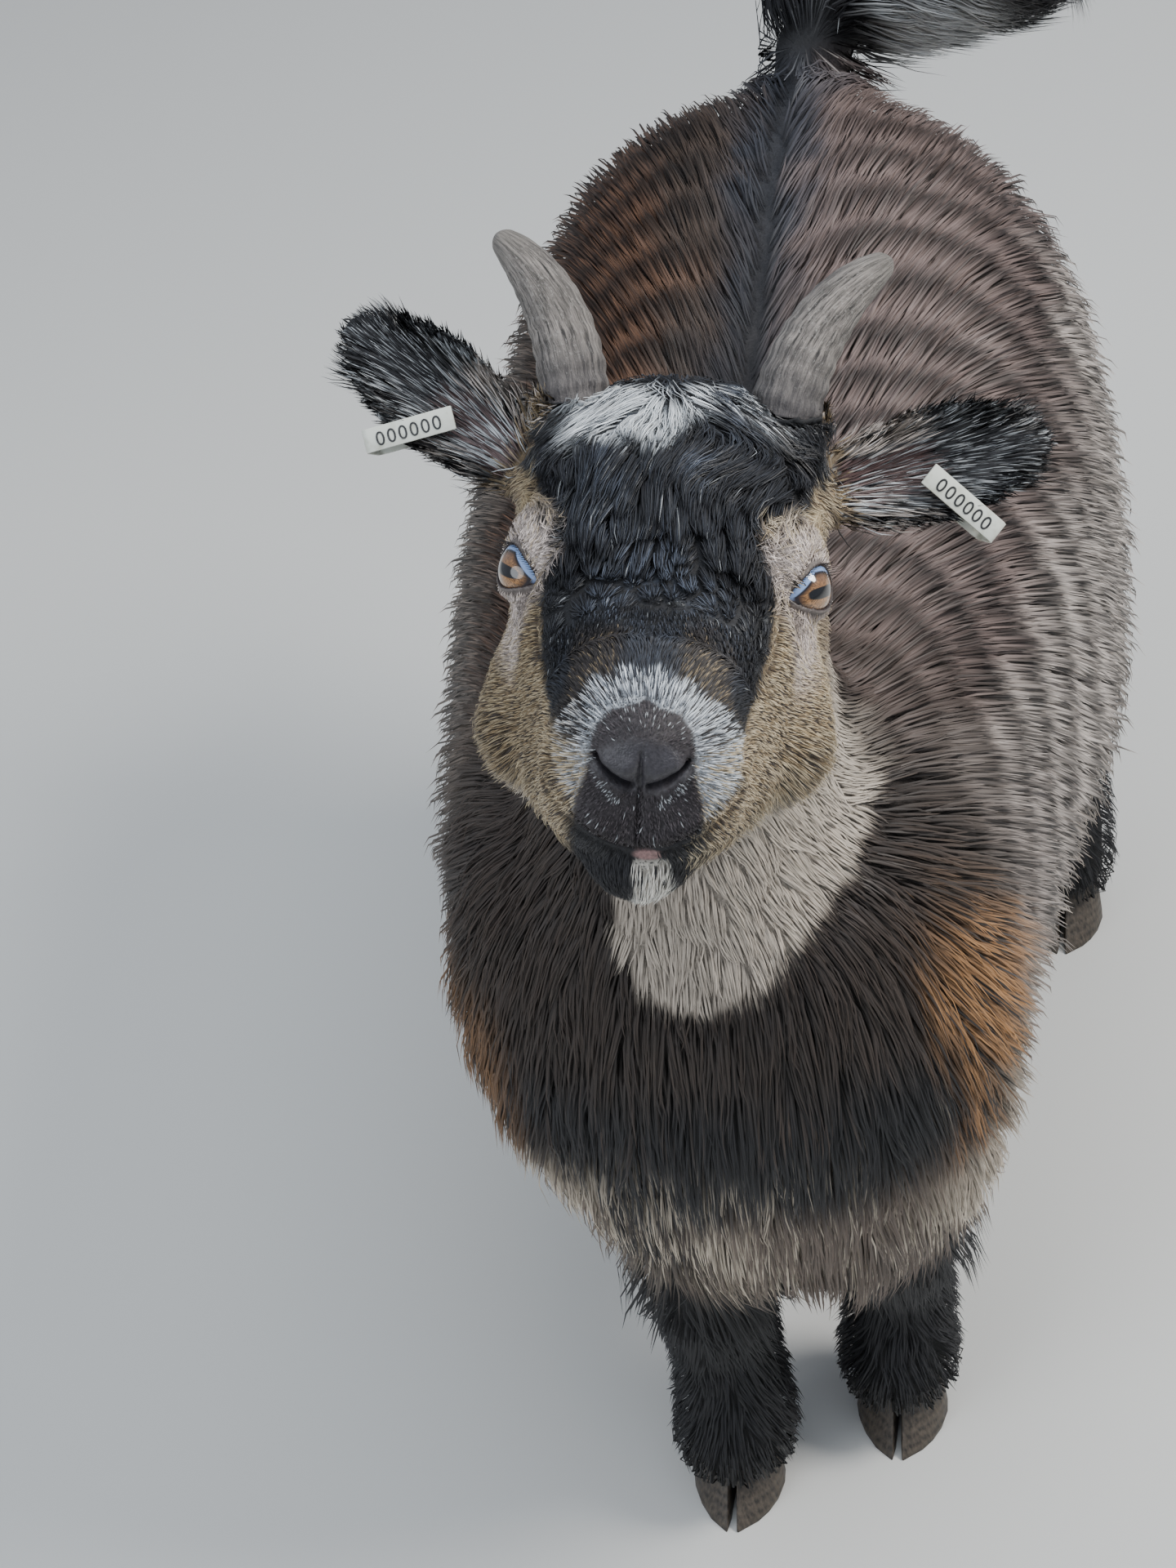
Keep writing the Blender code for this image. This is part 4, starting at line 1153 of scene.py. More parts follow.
class GOAT_OT_eyes(bpy.types.Operator):
    """Make the eyeballs, with a bulging cornea over an iris with a level slot"""

    bl_idname = "goat.eyes"
    bl_label = "Eyes"

    def execute(self, context):
        material = eye_material()
        for side, sign in SIDES.items():
            out = HEAD_TURN @ Vector((sign * IRIS_AIM.x, IRIS_AIM.y, IRIS_AIM.z))
            ahead = HEAD_TURN @ Vector((sign * IRIS_AIM.y, -IRIS_AIM.x, 0)).normalized()
            up = out.cross(ahead)
            up = up if (HEAD_TURN.inverted() @ up).z > 0 else -up
            axes = np.array((ahead, up, out))
            bm = bmesh.new()
            bmesh.ops.create_uvsphere(bm, u_segments=72, v_segments=48, radius=1.0)
            mesh = freed(bm, f"eye_{side}")
            local = points_of(mesh)
            bulge = 1 + 0.05 * ramp(np.hypot(local[:, 0], local[:, 1]), 0.66, 0.10) * (local[:, 2] > 0)
            place = (local * bulge[:, None]) @ axes * EYE_RADIUS + np.array(eye_middle(side))
            set_points(mesh, place)
            if np.linalg.det(axes) < 0:
                mesh.flip_normals()
            write_values(mesh, "Gaze", local, "FLOAT_VECTOR")
            finish_piece(link(f"eyeball_{side}", mesh), material, [f"eye_{side}"])
        return {"FINISHED"}


# -------- horns
HORN_ROOT = Vector((0.0355, 0.048, 0.042))  # of the left horn, in the head's axes
HORN_LENGTH = 0.071
HORN_LEAN, HORN_BACK = (5, 51), (22, 56)  # degrees out and back, at the root and at the tip
HORN_DEEP = 1.13  # from front to back, over its width
HORN_CAP = 0.94  # how far along its rounded tip starts
HORN_TIP_RADIUS, HORN_ROOT_RADIUS = 0.0024, 0.0119
HORN_ROWS, HORN_POINTS = 96, 72


def horn_mesh(side):
    """The horn as a fine tube, with how far along and how far round each point lies."""
    sign = SIDES[side]
    place = Vector((sign * HORN_ROOT.x, HORN_ROOT.y, HORN_ROOT.z))
    bm = bmesh.new()
    rows, along_values, turn_values = [], [], []
    for i in range(HORN_ROWS + 1):
        t = i / HORN_ROWS
        lean = math.radians(HORN_LEAN[0] + (HORN_LEAN[1] - HORN_LEAN[0]) * t)
        back = math.radians(HORN_BACK[0] + (HORN_BACK[1] - HORN_BACK[0]) * t)
        along = Vector((sign * math.sin(lean), math.cos(lean) * math.sin(back),
                        math.cos(lean) * math.cos(back)))
        side_way = along.cross(Vector((0, 1, 0))).normalized()
        ahead = side_way.cross(along).normalized()
        taper = max(0.0, 1 - t ** 1.9) ** 0.62
        radius = HORN_TIP_RADIUS + (HORN_ROOT_RADIUS - HORN_TIP_RADIUS) * taper
        cap = max(0.0, (t - HORN_CAP) / (1 - HORN_CAP))
        radius *= math.sqrt(max(0.0, 1 - cap ** 2)) * 0.98 + 0.02
        row = []
        for k in range(HORN_POINTS):
            turn = math.tau * k / HORN_POINTS
            wide, deep = radius * math.cos(turn), radius * HORN_DEEP * math.sin(turn)
            row.append(bm.verts.new(HEAD @ (place + side_way * wide + ahead * deep)))
            along_values.append(t)
            turn_values.append(k / HORN_POINTS)
        rows.append(row)
        place = place + along * (HORN_LENGTH / HORN_ROWS)
    for low, high in zip(rows, rows[1:]):
        for k in range(HORN_POINTS):
            j = (k + 1) % HORN_POINTS
            bm.faces.new((low[k], low[j], high[j], high[k]))
    bm.faces.new(rows[0][::-1])
    bm.faces.new(rows[-1])
    bmesh.ops.recalc_face_normals(bm, faces=bm.faces)
    mesh = freed(bm, f"horn_{side}")
    write_values(mesh, "Along", along_values)
    turns = np.array(turn_values) * math.tau
    ring = columns(np.cos(turns), np.sin(turns), np.array(along_values) * 6.0)
    write_values(mesh, "Grain", ring, "FLOAT_VECTOR")
    return mesh


def geometry_tree(name, inputs):
    """A geometry tree with a geometry in and out and these named inputs: name, socket kind, default."""
    tree = bpy.data.node_groups.new(name, "GeometryNodeTree")
    tree.interface.new_socket("Geometry", in_out="INPUT", socket_type="NodeSocketGeometry")
    tree.interface.new_socket("Geometry", in_out="OUTPUT", socket_type="NodeSocketGeometry")
    for label, kind, default in inputs:
        socket = tree.interface.new_socket(label, in_out="INPUT", socket_type=kind)
        if default is not None:
            socket.default_value = default
    return tree


def add_node(tree, kind, settings=None, **links):
    """A node with its settings set first, then its inputs by position: at0 is the first socket.

    An input takes a number, a socket, or a node for its first output.
    """
    node = tree.nodes.new(kind)
    for key, value in (settings or {}).items():
        setattr(node, key, value)
    for key, value in links.items():
        socket = node.inputs[int(key[2:])]
        if isinstance(value, bpy.types.Node):
            value = value.outputs[0]
        if isinstance(value, bpy.types.NodeSocket):
            tree.links.new(value, socket)
        else:
            socket.default_value = value
    return node


def tree_maths(tree, operation, first, second=0.0):
    return add_node(tree, "ShaderNodeMath", {"operation": operation}, at0=first, at1=second)


def end_tree(tree, geometry, material):
    """Makes the geometry real, gives it the material and ends the tree with it."""
    real = add_node(tree, "GeometryNodeRealizeInstances", at0=geometry)
    painted = add_node(tree, "GeometryNodeSetMaterial", at0=real, at2=material)
    add_node(tree, "NodeGroupOutput", at0=painted)
    return tree


def ring_tree():
    """Pushes a horn's surface in and out in uneven rings that fade towards its tip."""
    tree = geometry_tree("horn_rings", [
        ("Rings", "NodeSocketFloat", 9.0), ("Depth", "NodeSocketFloat", 0.0006),
        ("Unevenness", "NodeSocketFloat", 0.35), ("Material", "NodeSocketMaterial", None)])
    start = add_node(tree, "NodeGroupInput")
    along = add_node(tree, "GeometryNodeInputNamedAttribute", {"data_type": "FLOAT"}, at0="Along")
    lumps = add_node(tree, "ShaderNodeTexNoise", {"noise_dimensions": "3D"}, at2=70.0, at3=2.0)
    uneven = tree_maths(tree, "MULTIPLY", lumps, start.outputs[3])
    shifted = tree_maths(tree, "ADD", along, tree_maths(tree, "MULTIPLY", uneven, 0.2))
    turns = tree_maths(tree, "MULTIPLY", tree_maths(tree, "MULTIPLY", shifted, start.outputs[1]), math.tau)
    wave = tree_maths(tree, "SINE", turns)
    fade = tree_maths(tree, "SUBTRACT", 1.0, along)
    height = tree_maths(tree, "MULTIPLY", tree_maths(tree, "MULTIPLY", wave, fade), start.outputs[2])
    normal = add_node(tree, "GeometryNodeInputNormal")
    push = add_node(tree, "ShaderNodeVectorMath", {"operation": "SCALE"}, at0=normal, at3=height)
    moved = add_node(tree, "GeometryNodeSetPosition", at0=start, at3=push)
    return end_tree(tree, moved, start.outputs[4])


def run_tree(obj, tree, name, **values):
    """obj with the tree applied, as a plain mesh. Inputs are set by their sockets' identifiers."""
    modifier = obj.modifiers.new("Nodes", "NODES")
    modifier.node_group = tree
    for item in tree.interface.items_tree:
        if item.in_out == "INPUT" and item.name in values:
            modifier[item.identifier] = values[item.name]
    return baked(obj, name)


def horn_material():
    """Dark horn with long pale fibres and flakes, darker at its root."""
    colour = tuple(bpy.context.scene.goat_colours.horn)
    shader = Shader("horn", Roughness=0.5)
    along = shader.attribute("Along", 2)
    grain = shader.attribute("Grain", 1)
    long_grain = shader.node("Mapping", Vector=grain, Scale=(5.0, 5.0, 0.45))
    fibre = shader.node("TexNoise", Vector=long_grain, Scale=2.0, Detail=6.0, Roughness=0.75)
    flakes = shader.node("TexNoise", Vector=shader.node("Mapping", Vector=grain, Scale=(5.0, 5.0, 3.0)),
                         Scale=2.5, Detail=5.0, Roughness=0.7)
    blotch = shader.node("TexNoise", Vector=shader.place(), Scale=70.0, Detail=4.0)
    pale = tuple(min(1.0, c * 2.9) for c in colour)
    deep = tuple(c * 0.22 for c in colour)
    base = shader.mix(fibre.rise(0.40, 0.60), deep, pale)
    base = shader.mix(blotch.rise(0.45, 0.62) * 0.40, base, colour)
    base = shader.mix(flakes.rise(0.56, 0.66) * 0.6, base, (0.42, 0.40, 0.37))
    base = shader.mix(along.rise(0.72, 1.0) * 0.5, base, (0.27, 0.25, 0.22))
    base = shader.mix((1 - along).rise(0.66, 1.0) * 0.75, base, (0.050, 0.045, 0.050))
    shader.set(Base_Color=base, Roughness=0.62 - 0.25 * fibre)
    shader.bump(fibre + 0.8 * flakes, 0.0009, 1.0)
    return shader.material


class GOAT_OT_horns(bpy.types.Operator):
    """Make the horns, with growth rings and long fibres"""

    bl_idname = "goat.horns"
    bl_label = "Horns"

    def execute(self, context):
        material = horn_material()
        tree = ring_tree()
        for side in SIDES:
            obj = link(f"horn_plain_{side}", horn_mesh(side))
            obj = run_tree(obj, tree, f"horn_ringed_{side}", Rings=9.0, Depth=0.0004, Unevenness=0.6,
                           Material=material)
            finish_piece(obj, material, [f"horn_{side}"])
        return {"FINISHED"}


# -------- hooves
CLAW_ROUNDING = 0.0013


def hoof_material():
    shader = Shader("hoof", Roughness=0.5)
    place = shader.place()
    rings = shader.node("TexWave", {"bands_direction": "Z"}, Vector=place, Scale=70.0, Distortion=3.0)
    grain = shader.node("TexNoise", Vector=shader.node("Mapping", Vector=place, Scale=(1.0, 1.0, 0.12)),
                        Scale=700.0, Detail=3.0)
    base = shader.mix(grain.rise(0.35, 0.70), (0.018, 0.015, 0.013), (0.085, 0.068, 0.052))
    base = shader.mix(rings * 0.25, base, (0.12, 0.095, 0.07))
    shader.set(Base_Color=base, Roughness=0.42 + 0.2 * grain)
    shader.bump(rings * 0.6 + grain * 0.4, 0.0004, 0.8)
    return shader.material


class GOAT_OT_hooves(bpy.types.Operator):
    """Make the eight claws, with rounded edges and growth rings"""

    bl_idname = "goat.hooves"
    bl_label = "Hooves"

    def execute(self, context):
        material = hoof_material()
        for node in HOOVES:
            name = node.replace("hoof", "claw")
            finish_piece(bevelled(node, name, CLAW_ROUNDING, 38), material, [node])
        return {"FINISHED"}


# -------- ear tags
TAG_WIDTH, TAG_THICKNESS = 0.0082, 0.0012
TAG_PLACE = {"right": (0.046, 0.015), "left": (0.051, 0.015)}  # along the ear, and to its lower edge
TAG_SLANT = 38  # degrees from straight across the ear
TAG_FRONT = 0.0034  # from the ear's middle to that of the strip in front of it
TAG_ROUNDING = 0.00028
TAG_DIGITS = "000000"
DIGIT_SIZE = 0.86  # of the lettering, as a share of the strip's width
DIGIT_SPACING, DIGIT_DEPTH = 1.18, 0.00012


def tag_matrix(side):
    """x across the strip, y along it towards the ear's lower edge, z out of the ear's hollow side."""
    lower = -SIDES[side]
    along, down = TAG_PLACE[side]
    slant = Matrix.Rotation(math.radians(TAG_SLANT) * -lower, 4, "Z")
    return EARS[side] @ Matrix.Translation((along, lower * down, 0)) @ slant


def tag_material():
    colour = tuple(bpy.context.scene.goat_colours.tag)
    shader = Shader("tag", Roughness=0.38)
    place = shader.place()
    dirt = shader.node("TexNoise", Vector=place, Scale=260.0, Detail=5.0)
    scratch = shader.node("TexNoise", Vector=shader.node("Mapping", Vector=place, Scale=(6.0, 1.0, 1.0)),
                          Scale=420.0, Detail=2.0)
    base = shader.mix(dirt.rise(0.50, 0.78) * 0.55, colour, (0.36, 0.35, 0.24))
    base = shader.mix(scratch.rise(0.60, 0.75) * 0.25, base, (0.85, 0.86, 0.80))
    shader.set(Base_Color=base, Roughness=0.32 + 0.3 * dirt)
    shader.bump(dirt * 0.5 + scratch * 0.5, 0.0001, 0.5)
    return shader.material


def digits_mesh(side):
    """Plain zeros standing out of the strip by a hair."""
    curve = bpy.data.curves.new("digits", "FONT")
    curve.body = TAG_DIGITS
    curve.align_x = "CENTER"
    curve.align_y = "CENTER"
    curve.size = TAG_WIDTH * DIGIT_SIZE
    curve.space_character = DIGIT_SPACING
    curve.extrude = DIGIT_DEPTH
    curve.resolution_u = 4
    text = link("digits", curve)
    mesh = bpy.data.meshes.new_from_object(text.evaluated_get(bpy.context.evaluated_depsgraph_get()))
    bpy.data.objects.remove(text)
    along_strip = Matrix.Rotation(math.radians(90), 4, "Z")
    lift = Matrix.Translation((0, 0, TAG_FRONT + TAG_THICKNESS / 2 + 0.00008))
    mesh.transform(tag_matrix(side) @ lift @ along_strip)
    return mesh


class GOAT_OT_tags(bpy.types.Operator):
    """Make the ear tags, with rounded edges, a rivet head and plain zeros"""

    bl_idname = "goat.tags"
    bl_label = "Ear tags"

    def execute(self, context):
        material = tag_material()
        ink = Shader("tag_ink", Base_Color=(0.02, 0.02, 0.022, 1), Roughness=0.5)
        worn = ink.node("TexNoise", Vector=ink.place(), Scale=900.0, Detail=2.0)
        ink.set(Base_Color=ink.mix(worn.rise(0.55, 0.75) * 0.5, (0.018, 0.018, 0.020), (0.16, 0.16, 0.14)))
        for side in SIDES:
            strip = bevelled(f"tag_{side}", f"tag_strip_{side}", TAG_ROUNDING, 50)
            finish_piece(strip, material, [f"tag_{side}"])
            finish_piece(link(f"tag_digits_{side}", digits_mesh(side)), ink.material)
        return {"FINISHED"}


# -------- coat
TUFT_PATCH = 0.003  # across, on the bake map
TUFT_PROFILES = {1: [1.0], 2: [1.0, 0.62], 3: [1.0, 0.80, 0.45]}  # widths of a tuft's rings
STRAND = 0.00028  # width of one hair of a tuft, as its shade shows it
STRAND_CONTRAST = {"body": 0.24, "head": 0.50, "ear": 0.50}
ROOT_DEPTH = 0.0008  # of a tuft's root under the skin
BARE_LIMIT = 0.35  # no hair grows where the skin is barer
TUFT_ROLL, SHADE_TILT = 0.35, 0.16  # spreads of a tuft's turn about itself, and of its shading


class Surface:
    """The skin, for growing hair on."""

    def __init__(self, obj):
        mesh = obj.data
        mesh.calc_loop_triangles()
        corners = np.empty(len(mesh.loop_triangles) * 3, np.int32)
        mesh.loop_triangles.foreach_get("vertices", corners)
        self.corners = corners.reshape(-1, 3)
        self.points = points_of(mesh)
        self.normals = normals_of(mesh)
        bare = np.empty(len(mesh.vertices), np.float32)
        mesh.attributes["Bare"].data.foreach_get("value", bare)
        self.bare = bare[self.corners].mean(axis=1)
        a, b, c = (self.points[self.corners[:, k]] for k in range(3))
        self.area = np.linalg.norm(np.cross(b - a, c - a), axis=1) / 2
        self.middle = (a + b + c) / 3
        self.face_normals = unit(self.normals[self.corners].sum(axis=1))
        self.tree = BVHTree.FromPolygons(self.points.tolist(), self.corners.tolist(), all_triangles=True)

    def scatter(self, weights, count, draw):
        """Evenly spread roots: places and normals."""
        total = np.cumsum(self.area * weights)
        steps = (np.arange(count) + draw.random(count)) / count * total[-1]
        chosen = np.minimum(np.searchsorted(total, steps), len(total) - 1)
        u, v = draw.random(count), draw.random(count)
        over = u + v > 1
        u[over], v[over] = 1 - u[over], 1 - v[over]
        shares = columns(1 - u - v, u, v)
        picked = self.corners[chosen]
        places = (self.points[picked] * shares[:, :, None]).sum(axis=1)
        return places, unit((self.normals[picked] * shares[:, :, None]).sum(axis=1))

    def nearest(self, points):
        """The nearest places on the skin, and its normals there."""
        places, index = np.empty_like(points), np.empty(len(points), np.int64)
        find = self.tree.find_nearest
        for i, point in enumerate(points.tolist()):
            place, _, face, _ = find(point)
            places[i] = place
            index[i] = face
        return places, self.face_normals[index]


def tangent(ways, normals):
    """Directions turned flat onto the skin."""
    return unit(ways - normals * (ways * normals).sum(axis=1, keepdims=True))


def walk(surface, roots, normals, length, shares):
    """Places and normals on the skin under each hair at these shares of its length."""
    places, ups, ways = [roots], [normals], []
    here, up, before = roots, normals, 0.0
    for share in shares:
        way = tangent(flow_of(here), up)
        here, up = surface.nearest(here + way * (length * (share - before))[:, None])
        places.append(here)
        ups.append(up)
        ways.append(way)
        before = share
    return places, ups, ways


def clumped(paths, roots, spacing, strength, draw):
    """Draws hairs towards the middle hair of their lock, most of all at their tips."""
    count = max(2, int(len(roots) * spacing))
    heads = draw.choice(len(roots), count, replace=False)
    tree = KDTree(count)
    for i, head in enumerate(heads.tolist()):
        tree.insert(roots[head], i)
    tree.balance()
    mine = heads[[tree.find(root)[1] for root in roots.tolist()]]
    for k in range(1, len(paths)):
        pull = strength * (k / (len(paths) - 1)) ** 1.3
        paths[k] = paths[k] + (paths[k][mine] - paths[k]) * pull * draw.uniform(0.6, 1.0, (len(roots), 1))
    return paths


def unwrapped(points, matrix, radii):
    """An unwrap of part of the skin to a square, as of an egg that is slit at its back and opened."""
    ways = unit(into(matrix, points) / np.array(radii))
    reach = np.sqrt(np.clip((1 - ways[:, 2]) / 2, 0, 1))
    flat = unit(ways[:, :2]) * reach[:, None]
    return 0.5 + 0.485 * flat


def tuft_faces(rings):
    """Triangles of one tuft: its root point, its rings of three points each and its tip."""
    faces = []
    last = 1 + 3 * (rings - 1)
    for k in range(3):
        j = (k + 1) % 3
        faces.append((0, 1 + j, 1 + k))
        for ring in range(rings - 1):
            low, high = 1 + 3 * ring, 4 + 3 * ring
            faces.append((low + k, low + j, high + j))
            faces.append((low + k, high + j, high + k))
        faces.append((last + k, last + j, last + 3))
    return np.array(faces)


def tufts_mesh(name, paths, ups, widths, colours, map_places, seeds, normals, softness):
    """Closed, tapered three-sided tufts through the paths, pointed at both ends."""
    count, rings = len(paths[0]), len(paths) - 2
    rows = [paths[0][:, None, :]]
    outs = [normals[:, None, :]]
    for k in range(1, rings + 1):
        ahead = unit(paths[k + 1] - paths[k - 1])
        side = unit(np.cross(ahead, ups[k]))
        lift = np.cross(side, ahead)
        w = widths * TUFT_PROFILES[rings][k - 1]
        ring = [paths[k] + side * (w / 2)[:, None], paths[k] + lift * (w * 0.42)[:, None],
                paths[k] - side * (w / 2)[:, None]]
        rows.append(np.stack(ring, axis=1))
        outs.append(np.stack([side + lift * 0.5, lift, lift * 0.5 - side], axis=1))
    rows.append(paths[-1][:, None, :])
    outs.append(outs[-1][:, 1:2, :])
    verts = np.concatenate(rows, axis=1)
    out = np.concatenate(outs, axis=1)
    each = verts.shape[1]
    faces = tuft_faces(rings)
    first = verts[0][faces] - verts[0].mean(axis=0)
    volume = np.einsum("ij,ij->i", first[:, 0], np.cross(first[:, 1], first[:, 2])).sum()
    if volume < 0:
        faces = faces[:, ::-1]
    index = (np.arange(count) * each)[:, None, None] + faces[None]
    mesh = bpy.data.meshes.new(name)
    mesh.vertices.add(count * each)
    mesh.vertices.foreach_set("co", verts.reshape(-1).astype(np.float32))
    total = count * len(faces)
    mesh.loops.add(total * 3)
    mesh.loops.foreach_set("vertex_index", index.reshape(-1).astype(np.int32))
    mesh.polygons.add(total)
    mesh.polygons.foreach_set("loop_start", np.arange(0, total * 3, 3, dtype=np.int32))
    mesh.update(calc_edges=True)
    spans = [1, *[3] * rings, 1]
    colour = [np.repeat(c[:, None, :], span, axis=1) for c, span in zip(colours, spans)]
    write_colours(mesh, np.concatenate(colour, axis=1).reshape(-1, 3))
    share = np.concatenate([[0.0], np.repeat(np.arange(1, rings + 1) / (rings + 1), 3), [1.0]])
    across = np.concatenate([[0.0], np.tile([-0.5, 0.0, 0.5], rings), [0.0]])
    strand = np.empty((count, each, 3))
    strand[:, :, 0] = across[None] * (widths / STRAND)[:, None] + 0.5 * seeds[:, None]
    strand[:, :, 1] = share[None] * 1.5
    strand[:, :, 2] = seeds[:, None] * 97.0
    write_values(mesh, "Strand", strand.reshape(-1, 3), "FLOAT_VECTOR")
    offset = columns(across, share - 0.5) * TUFT_PATCH * 0.95
    places = (map_places[:, None, :] + offset[None]).reshape(-1, 2)
    layer = mesh.uv_layers.new(name="OFBake")
    layer.data.foreach_set("uv", places[index.reshape(-1)].astype(np.float32).ravel())
    mesh.shade_smooth()
    soft = normals[:, None, :] * softness + unit(out.reshape(-1, 3)).reshape(out.shape) * (1 - softness)
    mesh.normals_split_custom_set_from_vertices(unit(soft.reshape(-1, 3)).tolist())
    return mesh


def coat_material(name, roughness, gloss, contrast):
    """Coat of one gloss, whose single hairs differ in shade by this contrast."""
    shader = Shader(name, Roughness=roughness, Specular_IOR_Level=gloss)
    coat = shader.attribute("Coat")
    hairs = shader.node("TexNoise", Vector=shader.attribute("Strand", 1), Scale=1.0, Detail=1.0)
    stops = [(0.30, (1 - contrast,) * 3), (0.70, (1 + contrast,) * 3)]
    shade = shader.node("ValToRGB", {"stops": stops}, Fac=hairs)
    shader.set(Base_Color=shader.mix(1.0, coat, shade, "MULTIPLY"))
    return shader.material


def row_share(points):
    """1 on the flanks, where the hair lies in rows, and 0 elsewhere."""
    b = in_body(points)
    _, y, z = b.T
    _, round_turn = round_trunk(b)
    share = ramp(round_turn, 6, 18) * ramp(round_turn, 125, 100) * (1 - ramp(z, 0.190, 0.150))
    return share * ramp(y, 0.03, 0.09) * ramp(y, 0.46, 0.40)


def body_style(points, draw):
    """Length, width, lift in degrees, cling and droop of hair on the body."""
    settings = bpy.context.scene.goat_coat
    b = in_body(points)
    _, y, z = b.T
    _, round_turn = round_trunk(b)
    length = mixed(settings.body_length, settings.body_length * 0.75, ramp(round_turn, 30, 10))
    length = mixed(length, settings.skirt_length, ramp(z, 0.27, 0.20) * ramp(y, 0.34, 0.26))
    neck = ramp(above(b, NECK_CUT), -0.03, 0.04)
    length = mixed(length, 0.020, neck)
    legs = leg_share(b, (0.170, 0.130), (0.210, 0.150))
    length = mixed(length, settings.leg_length, legs)
    tail = tail_share(b, -0.004, 0.006)
    length = mixed(length, 0.046, tail)
    length = length * (0.80 + 0.40 * draw[:, 0])
    lift = 16 + 8 * draw[:, 1] - 7 * row_share(points)
    lift = mixed(lift, 22 + 12 * draw[:, 1], legs)
    lift = mixed(lift, 9 + 7 * draw[:, 1], neck)
    chest = ramp(y, 0.055, 0.020) * ramp(z, 0.36, 0.32) * ramp(z, 0.15, 0.20)
    lift = lift + 8 * chest * draw[:, 1] + 14 * tail
    width = mixed(0.00108 + 0.00014 * row_share(points), 0.00090, np.maximum(legs, neck))
    bib = bib_share(b, 0.0)
    length = mixed(length, length * 0.62, bib)
    width = mixed(width, 0.00075, bib)
    lift = mixed(lift, lift * 0.7, bib)
    cling = mixed(0.88, 0.45, ramp(z, 0.24, 0.19) * (1 - legs))
    cling = mixed(cling, 0.70, chest)
    cling = mixed(cling, 0.45, tail)
    droop = mixed(0.08, 0.25, ramp(z, 0.26, 0.20) * (1 - legs))
    return length, width, lift, cling, droop


def head_style(points, draw):
    """Length, width, lift in degrees, cling and droop of hair on the head."""
    settings = bpy.context.scene.goat_coat
    h = in_head(points)
    x, f, z = h.T
    side = np.abs(x)
    length = settings.face_length + 0.0030 * ramp(f, 0.01, -0.03)
    jaw = ramp(z, -0.034, -0.052) * ramp(f, 0.090, 0.070)
    length = length + 0.0080 * jaw
    length = mixed(length, 0.0050, ramp(f, 0.072, 0.080) * ramp(z, -0.042, -0.036))
    ragged = 0.026 * (noise(points, 0.012, 17) - 0.5)
    top = ramp(side, 0.043, 0.032) * ramp(z, 0.004, 0.016) * ramp(f + ragged, 0.045, -0.010)
    length = mixed(length, settings.forelock_length, top)
    flash = ramp(f, -0.022, -0.032) * ramp(z, 0.034, 0.040)
    length = mixed(length, 0.019, flash)
    nose = nose_share(h)
    length = mixed(length, 0.0017 + 0.0008 * ramp(z, -0.032, -0.038), nose)
    mouth = mouth_height(side)
    tuft = ramp(np.abs(x - 0.0042), 0.0075, 0.0050) * ramp(z, -0.052, -0.056) * ramp(f, 0.070, 0.082)
    chin = ramp(z, mouth + 0.001, mouth - 0.001) * ramp(f, 0.060, 0.078)
    length = mixed(length, 0.0050, chin)
    length = mixed(length, 0.0062, tuft)
    length = mixed(length, 0.0028, ramp(eye_measure(h), 0.023, 0.015))
    length = length * (0.75 + 0.5 * draw[:, 0])
    lift = 13 + 10 * draw[:, 1] + 13 * jaw
    lift = mixed(lift, 8 + 9 * draw[:, 1], top)
    crown_tuft = ramp(f, 0.076, 0.082) * ramp(z, -0.012, -0.004)
    lift = lift + 16 * crown_tuft
    width = mixed(0.00038, 0.00052, top)
    width = mixed(width, 0.00040, nose)
    cling = mixed(0.95, 0.93, top)
    cling = mixed(cling, 0.5, tuft)
    droop = 0.15 * tuft
    return length, width, lift, cling, droop


def ear_style(points, normals, draw):
    """Length, width, lift in degrees, cling and droop of hair on the ears."""
    n = len(points)
    length = np.full(n, 0.0080)
    lift = 12 + 8 * draw[:, 1]
    cling = np.full(n, 0.20)
    for matrix in EARS.values():
        e = into(matrix, points)
        near = near_ear(e)
        front = near & (normals @ np.array(matrix)[:3, 2] > 0.1)
        inner = front & (np.abs(e[:, 1]) < 0.013)
        length[inner] = 0.0170
        lift[inner] += 6
        rim = near & (np.abs(e[:, 1]) > 0.014)
        length[rim] = 0.0052
        cling[rim] = 0.0
        room = 0.0035 + 0.75 * np.clip(EAR_LENGTH - 0.004 - e[:, 0], 0, 1)
        length[near] = np.minimum(length, room)[near]
    return length * (0.7 + 0.6 * draw[:, 0]), np.full(n, 0.00058), lift, cling, np.zeros(n)


def looking(place, way):
    """A frame at place whose z runs along way."""
    return Matrix.Translation(place) @ Vector(way).to_track_quat("Z", "Y").to_matrix().to_4x4()


class Patch:
    """A part of the skin with a coat piece of its own."""

    def __init__(self, name, style, pick, count, rings, slot, locks, pull, view, radii, gloss,
                 stray=0.05, softness=0.65):
        self.name, self.style, self.pick = name, style, pick
        self.count, self.rings, self.slot = count, rings, slot
        self.locks, self.pull = locks, pull  # locks for each hair, and the pull of a lock on its hairs
        self.view, self.radii = view, radii
        self.gloss = gloss
        self.stray = stray  # sideways, as a share of the length
        self.softness = softness  # how far a tuft is shaded as the skin under it


